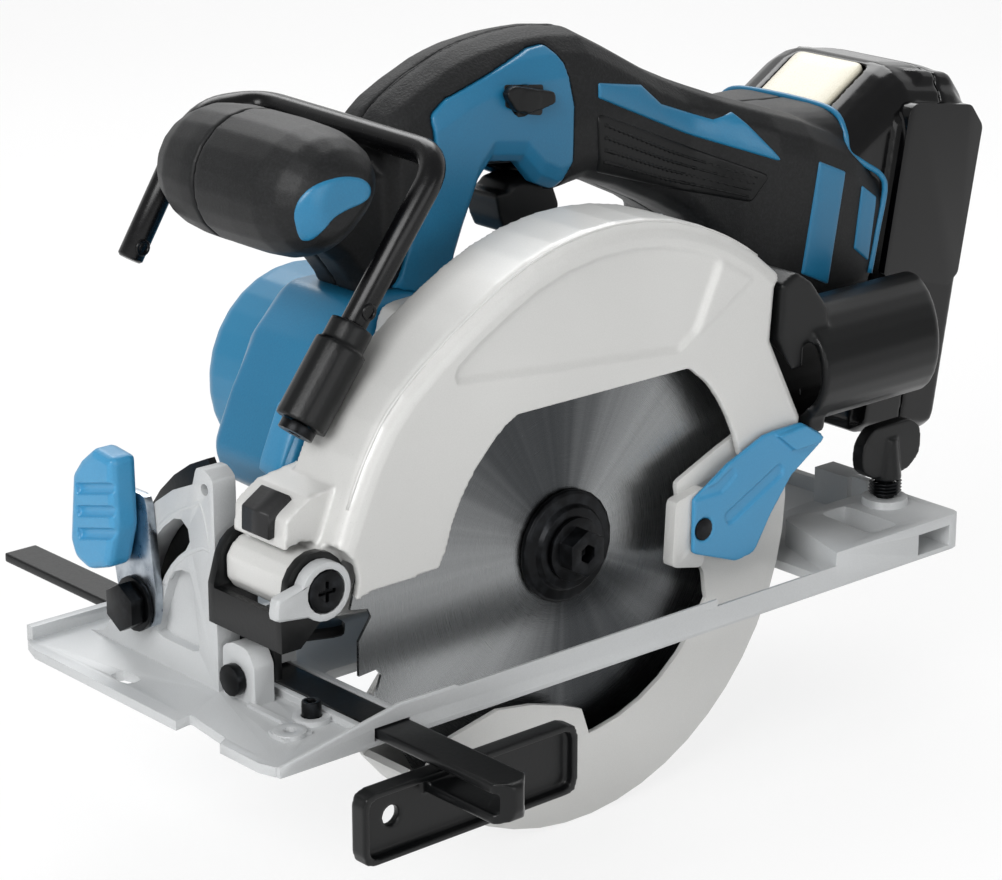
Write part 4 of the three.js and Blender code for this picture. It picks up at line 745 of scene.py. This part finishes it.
# Teal trim is moulded into the handle: side panels with a rounded edge, a flash behind
# them, the end of the front grip, and the edging of the battery holder.
panel = moulding("side_panel_moulded", "side_panel_near", teal_nylon, voxel=0.5, rub=5)
moulding("side_panel_moulded_far", "side_panel_far", teal_nylon, voxel=0.5, rub=5)
flash = [(51.3, 128.2), (71, 124.6), (79.3, 117.4), (98.6, 110.2), (104.8, 112.2), (117.5, 95.6),
         (89, 106.6), (51.4, 123.4)]
inlay("grip_flash", near, flash, teal_nylon, rise=0.7, lip=1.0, round_by=0.8)
bean = [(-85.3, 110.5), (-85.8, 115.1), (-83.9, 119.3), (-79.8, 122.2), (-72.9, 123.2), (-65.9, 121.9),
        (-62, 119.2), (-61.6, 116.2), (-64.8, 114.4), (-70.4, 113.3), (-75.4, 111.6), (-78.7, 108.5),
        (-80.9, 105.8), (-83.2, 106.1)]
inlay("grip_end", near, curve_through(bean, 4, closed=True), teal_nylon,
      rise=0.5, lip=1.0, round_by=0, step=1.6)
bar = [(131.7, 94.2), (144.1, 88.9), (137.4, 51.8), (125.8, 57.3)]
inlay("holder_bar", near, bar, teal_nylon, rise=0.7, lip=1.0, round_by=0.8)
patch = [(152.1, 83), (159.4, 78), (156.3, 56.5), (149.3, 61.9)]
inlay("holder_patch", near, patch, teal_nylon, rise=0.6, lip=0.7, round_by=0.6)
edging = [beside_pack(*p) for p in (
    (-18.8, 30.6, 4), (-18.8, 30.3, 14), (-18.8, 25, 21), (-18.8, 12, 22.8), (-18.8, -12, 22.8),
    (-18.8, -24, 21.2), (-18.9, -29.6, 15.5), (-17.5, -31.2, 9.5), (-12, -34, 6), (-6, -36.2, 3),
    (-3.2, -36.9, -2), (-3.8, -36.9, -16), (-4.4, -36.9, -30))]
bead("holder_edging", curve_through(edging, 5), 1.0, "teal_plastic", teal_nylon, sides=10)


# Low on the grip's near side a satin black field is moulded into the elastomer, and four
# slim ribs run along it for the fingers to hold.
satin_nylon = grained("satin_nylon", "070809", "0e0f10", 0.42, 1500, 0.04, Specular_IOR_Level=0.28)
grip_field = [(51, 118.8), (88, 103.2), (113.6, 91.6), (108.2, 83), (88, 88), (66, 95), (52, 99.5)]
inlay("grip_field", near, grip_field, satin_nylon, rise=0.6, lip=0.9, round_by=2)
THICK = Vector((0, 0.9))
THIN = Vector((0, 0.5))
SAG = Vector((0, -0.8))
for k in range(1, 5):
    start = Vector((53.5, 118.8 - 4 * k))
    end = Vector((110.5 - 0.8 * k, 93 - 2 * k))
    middle = (start + end) / 2 + SAG
    rib = [start + THICK, middle + THICK, end + THIN, end - THIN, middle - THICK, start - THICK]
    inlay("grip_rib", near, rib, satin_nylon, rise=1.0, lip=0.8, round_by=0.4)


# The trigger and the lock-off paddle are moulded in the same satin nylon. The trigger
# slides up into the switch, and the paddle turns on a pin in a well in the side panel. The
# well's shade is painted on the panel as a thin dark sheet.
well = [(12.6, 133), (28.2, 131), (27.8, 121.4), (20, 123), (12.8, 126.2)]
inlay("lock_off_well_painted_shade", panel, well, painted_recess_shade, rise=0.12, lip=0.2, round_by=1.2)
tongue = [(17.4, 96.5), (18.4, 93), (19.4, 88), (21.5, 83.6), (26, 82), (31, 84), (36.5, 89.5),
          (40, 92.5), (33, 95), (24, 96.5)]
near_side, far_side = (corner[1] for corner in reach("trigger"))
moulding("trigger_moulded", "trigger", satin_nylon, voxel=0.6, rub=7,
         shapes=[solid_of("trigger"), slab(tongue, "y", near_side + 0.2, far_side - 0.2, 2.5)])
moulding("lock_off_moulded", "lock_off_lever", satin_nylon, voxel=0.45, rub=6)


# The hanging hook is a steel rod bent cold, coated gloss black and punched flat near both
# ends. It turns in a moulded sleeve that is bolted to the gear case.
gloss_coat = grained("gloss_coat", "040405", "08080a", 0.26, 500, 0.01, Specular_IOR_Level=0.3)
ROD_R = 4
FAR_Y = 97.5
FOOT = Vector(pivot("hook_swing", ARBOR))
BEND = Vector((-37.2, FOOT.y, 124))
rod_way = (BEND - FOOT).normalized()


def bends(points, radius):
    """A path with its corners bent to a radius."""
    points = [Vector(p) for p in points]
    line = [points[0]]
    for before, here, after in zip(points, points[1:], points[2:]):
        start = here + (before - here).normalized() * radius
        end = here + (after - here).normalized() * radius
        for k in range(9):
            t = k / 8
            line.append(start * (1 - t) ** 2 + here * 2 * t * (1 - t) + end * t * t)
    return line + [points[-1]]


rod_stops = [FOOT + rod_way * 8.6, BEND, (-37.2, FAR_Y, 126), (-61, FAR_Y, 126), (-87, FAR_Y, 85)]
rod = bead("hook_bar", bends(rod_stops, 11), ROD_R, "gloss_black", gloss_coat,
           body="hook", sides=20, ends=0.7)
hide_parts("hook_rod")
PUNCH_R = 2.1
for where, way in ((FOOT + rod_way * 37, rod_way),
                   (Vector((-84.6, FAR_Y, 88.8)), Vector((0.535, 0, 0.845)))):
    across = way.cross(Vector((0, 1, 0)))
    ring = [where + Vector((0, 0.3 - ROD_R, 0)) + (way * math.cos(a) + across * math.sin(a)) * PUNCH_R
            for a in (math.pi * k / 8 for k in range(16))]
    bead("hook_punch", ring, 0.55, "gloss_black", gloss_coat, body="hook", closed=True)
moulding("hook_sleeve", "hook_holder", black_nylon, voxel=0.6, rub=4)


# The guard's thumb lever is moulded in the lighter nylon and screwed to the lower guard.
# Its face has a long relieved groove and a step beside the ribbed end for the thumb.
GROOVE = (Vector((55, -1.5)), Vector((80, 10.5)))
GROOVE_HALF = 2.3
aside = (GROOVE[1] - GROOVE[0]).orthogonal().normalized() * GROOVE_HALF
groove = [GROOVE[0] - aside, GROOVE[1] - aside, GROOVE[1] + aside, GROOVE[0] + aside]
step = [(40, 11.5), (50, 11.5), (57.5, 15.6), (59.5, 12.6), (53, 8.2), (40, 8.2)]
moulding("guard_lever_moulded", "guard_lever", sky_nylon, voxel=0.45, rub=3, keep=0.3,
         less=[slab(groove, "y", -18, -14.3, 2.2), slab(step, "y", -18, -14.5, 0.6)])


# The battery is gloss black ABS in two shells: a round-shouldered nose and a squarer case,
# whose side stands proud as a smooth plate. A cream button in a pocket on the nose's slope
# lets it off its rails. Ten wrapped cells lie inside.
pack_gloss = grained("pack_gloss", "030304", "060607", 0.16, 300, 0.004, Specular_IOR_Level=0.32)
slope_at = beside_pack(-18, 0, 17.4)
slope_out = beside_pack(-19, 0, 21) - beside_pack(0, 0, 0)
shoulders = []
for side in (-1, 1):
    corner = [beside_pack(-18.5, side * 33.4, 4), beside_pack(-18.5, side * 15, 17.5),
              beside_pack(6, side * 33.4, 25)]
    normal = (corner[1] - corner[0]).cross(corner[2] - corner[0]).normalized()
    if normal.y * side < 0:
        normal.negate()
    shoulders.append((corner[0], normal))
front = trimmed(solid_of("battery_cover"), (slope_at, slope_out), *shoulders)
SLOPE_FOOT = (-18.3, 17.8)
SLOPE = (0.7466, 0.6654)
button_outline = corners([(1.8, -14.9), (27.8, -14.9), (27.8, 15.5), (1.8, 15.5)], 3.2)
button_middle = Vector((14.8, 0.3))


def on_slope(share, height):
    """The button's outline on the nose's slope, drawn in to a share of its size."""
    ring = []
    for point in button_outline:
        up, across = button_middle + (point - button_middle) * share
        ring.append(beside_pack(SLOPE_FOOT[0] + SLOPE[0] * up - SLOPE[1] * height, across,
                                SLOPE_FOOT[1] + SLOPE[1] * up + SLOPE[0] * height))
    return ring


POCKET = 1.06
pocket = skin([on_slope(POCKET, -6.4), on_slope(POCKET, 6)])
nose = skin([arch(-18.3, 33.2, 17.8, 15, 13.5), arch(-8, 33.2, 27, 15, 14), arch(1, 33.4, 35, 15, 15),
             arch(6, 34, 37.8, 15, 15), arch(21.8, 35, 38.3, 16, 15)])
moulding("battery_nose", "battery_cover", pack_gloss, voxel=0.8, rub=5,
         less=[pocket], shapes=[front, nose])
back = skin([arch(22.2, 35, 38.3, 16, 15), arch(30, 35, 37.6, 16, 14), arch(37, 34.5, 32, 16, 12),
             arch(41.5, 34, 23, 16, 8)])
moulding("battery_shell", "battery_case", pack_gloss, voxel=0.9, rub=8,
         shapes=[solid_of("battery_case"), back])
pack_plate = grained("pack_plate", "020203", "040405", 0.14, 300, 0.002, Specular_IOR_Level=0.34)
side_wall = [(174, 107.4, 5), (204.5, 102.6, 4), (210.8, 94.5, 4), (201.3, 44.5, 3),
             (196, 41), (163.6, 50)]
PROUD = 0.3
wall = slab(side_wall, "y", PACK_SIDES[0] - PROUD, PACK_SIDES[0] + 5, 2)
plate = solid_piece("battery_side", wall, "battery", pack_plate)
rounded = plate.modifiers.new("edges", "BEVEL")
rounded.width = 0.0016
rounded.segments = 4
rounded.angle_limit = math.radians(40)
cream = grained("cream_abs", "cfcab8", "d8d4c4", 0.3, 1500, 0.01)
cap = skin([on_slope(share, height) for share, height in (
    (1, -1.8), (1, 0.4), (0.985, 0.85), (0.94, 1.1), (0.5, 1.2))])
press = solid_piece("battery_button_cap", cap, "battery_button", cream)
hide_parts("battery_button")
wrap = grained("cell_wrap", "7a4a26", "8c5a30", 0.4, 600, 0.01)
dress("cell_pack", wrap, 0)


# The bench is a plain white sweep, one sheet that curves up behind the saw, so that there
# is no horizon. To the eye and to polished metal it shines a little of its own, and it
# still takes the saw's shadow.
SWEEP_HALF = 5
SWEEP_FRONT = -3
SWEEP_BACK = 1.2
SWEEP_R = 0.8
SWEEP_TOP = 4
profile = [Vector((0, SWEEP_FRONT, 0)), Vector((0, SWEEP_BACK, 0))]
for k in range(1, 13):
    turned = k * math.pi / 24
    back = SWEEP_BACK + SWEEP_R * math.sin(turned)
    profile.append(Vector((0, back, SWEEP_R - SWEEP_R * math.cos(turned))))
profile.append(Vector((0, SWEEP_BACK + SWEEP_R, SWEEP_TOP)))
build = bmesh.new()
left = [build.verts.new(p + Vector((-SWEEP_HALF, 0, 0))) for p in profile]
right = [build.verts.new(p + Vector((SWEEP_HALF, 0, 0))) for p in profile]
for i in range(len(profile) - 1):
    build.faces.new((left[i], right[i], right[i + 1], left[i + 1])).smooth = True
sweep_mesh = bpy.data.meshes.new("sweep")
build.to_mesh(sweep_mesh)
sweep = bpy.data.objects.new("sweep", sweep_mesh)
AIR_UNDER_SAW = 0.0002
sweep.location.z = cad_box[0][2] - AIR_UNDER_SAW
sweep.rotation_euler.z = math.radians(-41)
bpy.context.collection.objects.link(sweep)
SHINE = 0.8
white, shader, place = coating("sweep_white", Base_Color=(0.9, 0.9, 0.9, 1), Roughness=0.9)
seen = place.node("ShaderNodeLightPath", out="Is Camera Ray")
mirrored = place.node("ShaderNodeLightPath", out="Is Glossy Ray")
glow = place.node("ShaderNodeEmission")
surface = place.node("ShaderNodeMixShader", inputs={
    0: seen.math("MAXIMUM", seen, mirrored) * SHINE,
    1: Tone(white.node_tree, shader.outputs[0]),
    2: glow})
place.feed(white.node_tree.nodes["Material Output"].inputs[0], surface)
sweep.data.materials.append(white)


# Three soft lamps and an even sky light it: the key from the front left, a weak one low
# in front that opens up the shadows, and one behind that picks out the upper edges.
world = bpy.data.worlds.new("studio")
bpy.context.scene.world = world
world.use_nodes = True
sky = world.node_tree.nodes["Background"]
sky.inputs["Color"].default_value = (1, 1, 1, 1)
sky.inputs["Strength"].default_value = 0.42


def lamp(name, where, aim, size, power):
    """A rectangular soft lamp at a place, aimed at another."""
    light = bpy.data.lights.new(name, "AREA")
    light.shape = "RECTANGLE"
    light.size, light.size_y = size
    light.energy = power
    made = bpy.data.objects.new(name, light)
    made.location = where
    made.rotation_euler = (Vector(where) - Vector(aim)).to_track_quat("Z", "Y").to_euler()
    bpy.context.collection.objects.link(made)


lamp("key", (-1.15, -0.35, 0.8), (0.0, 0.02, 0.05), (0.9, 0.7), 16)
lamp("front", (-0.1, -1.3, 0.35), (0.03, 0.02, 0.05), (1.2, 0.5), 4)
lamp("rear", (0.5, 0.7, 1.0), (0.03, 0.05, 0.08), (0.9, 0.7), 9)


# The camera stands about a metre off the near front corner with a long lens, so that the
# saw keeps its true proportions, and looks down on it by eighteen degrees.
BACK_FROM_SAW = Vector((-0.6260, -0.7137, 0.3142))
camera_data = bpy.data.cameras.new("camera")
camera_data.lens = 115.94
camera_data.sensor_width = 36
camera = bpy.data.objects.new("camera", camera_data)
camera.location = at(-618.9, -677.5, 336.9)
camera.rotation_euler = BACK_FROM_SAW.to_track_quat("Z", "Y").to_euler()
bpy.context.collection.objects.link(camera)
bpy.context.scene.camera = camera
bpy.context.scene.view_settings.view_transform = "Standard"
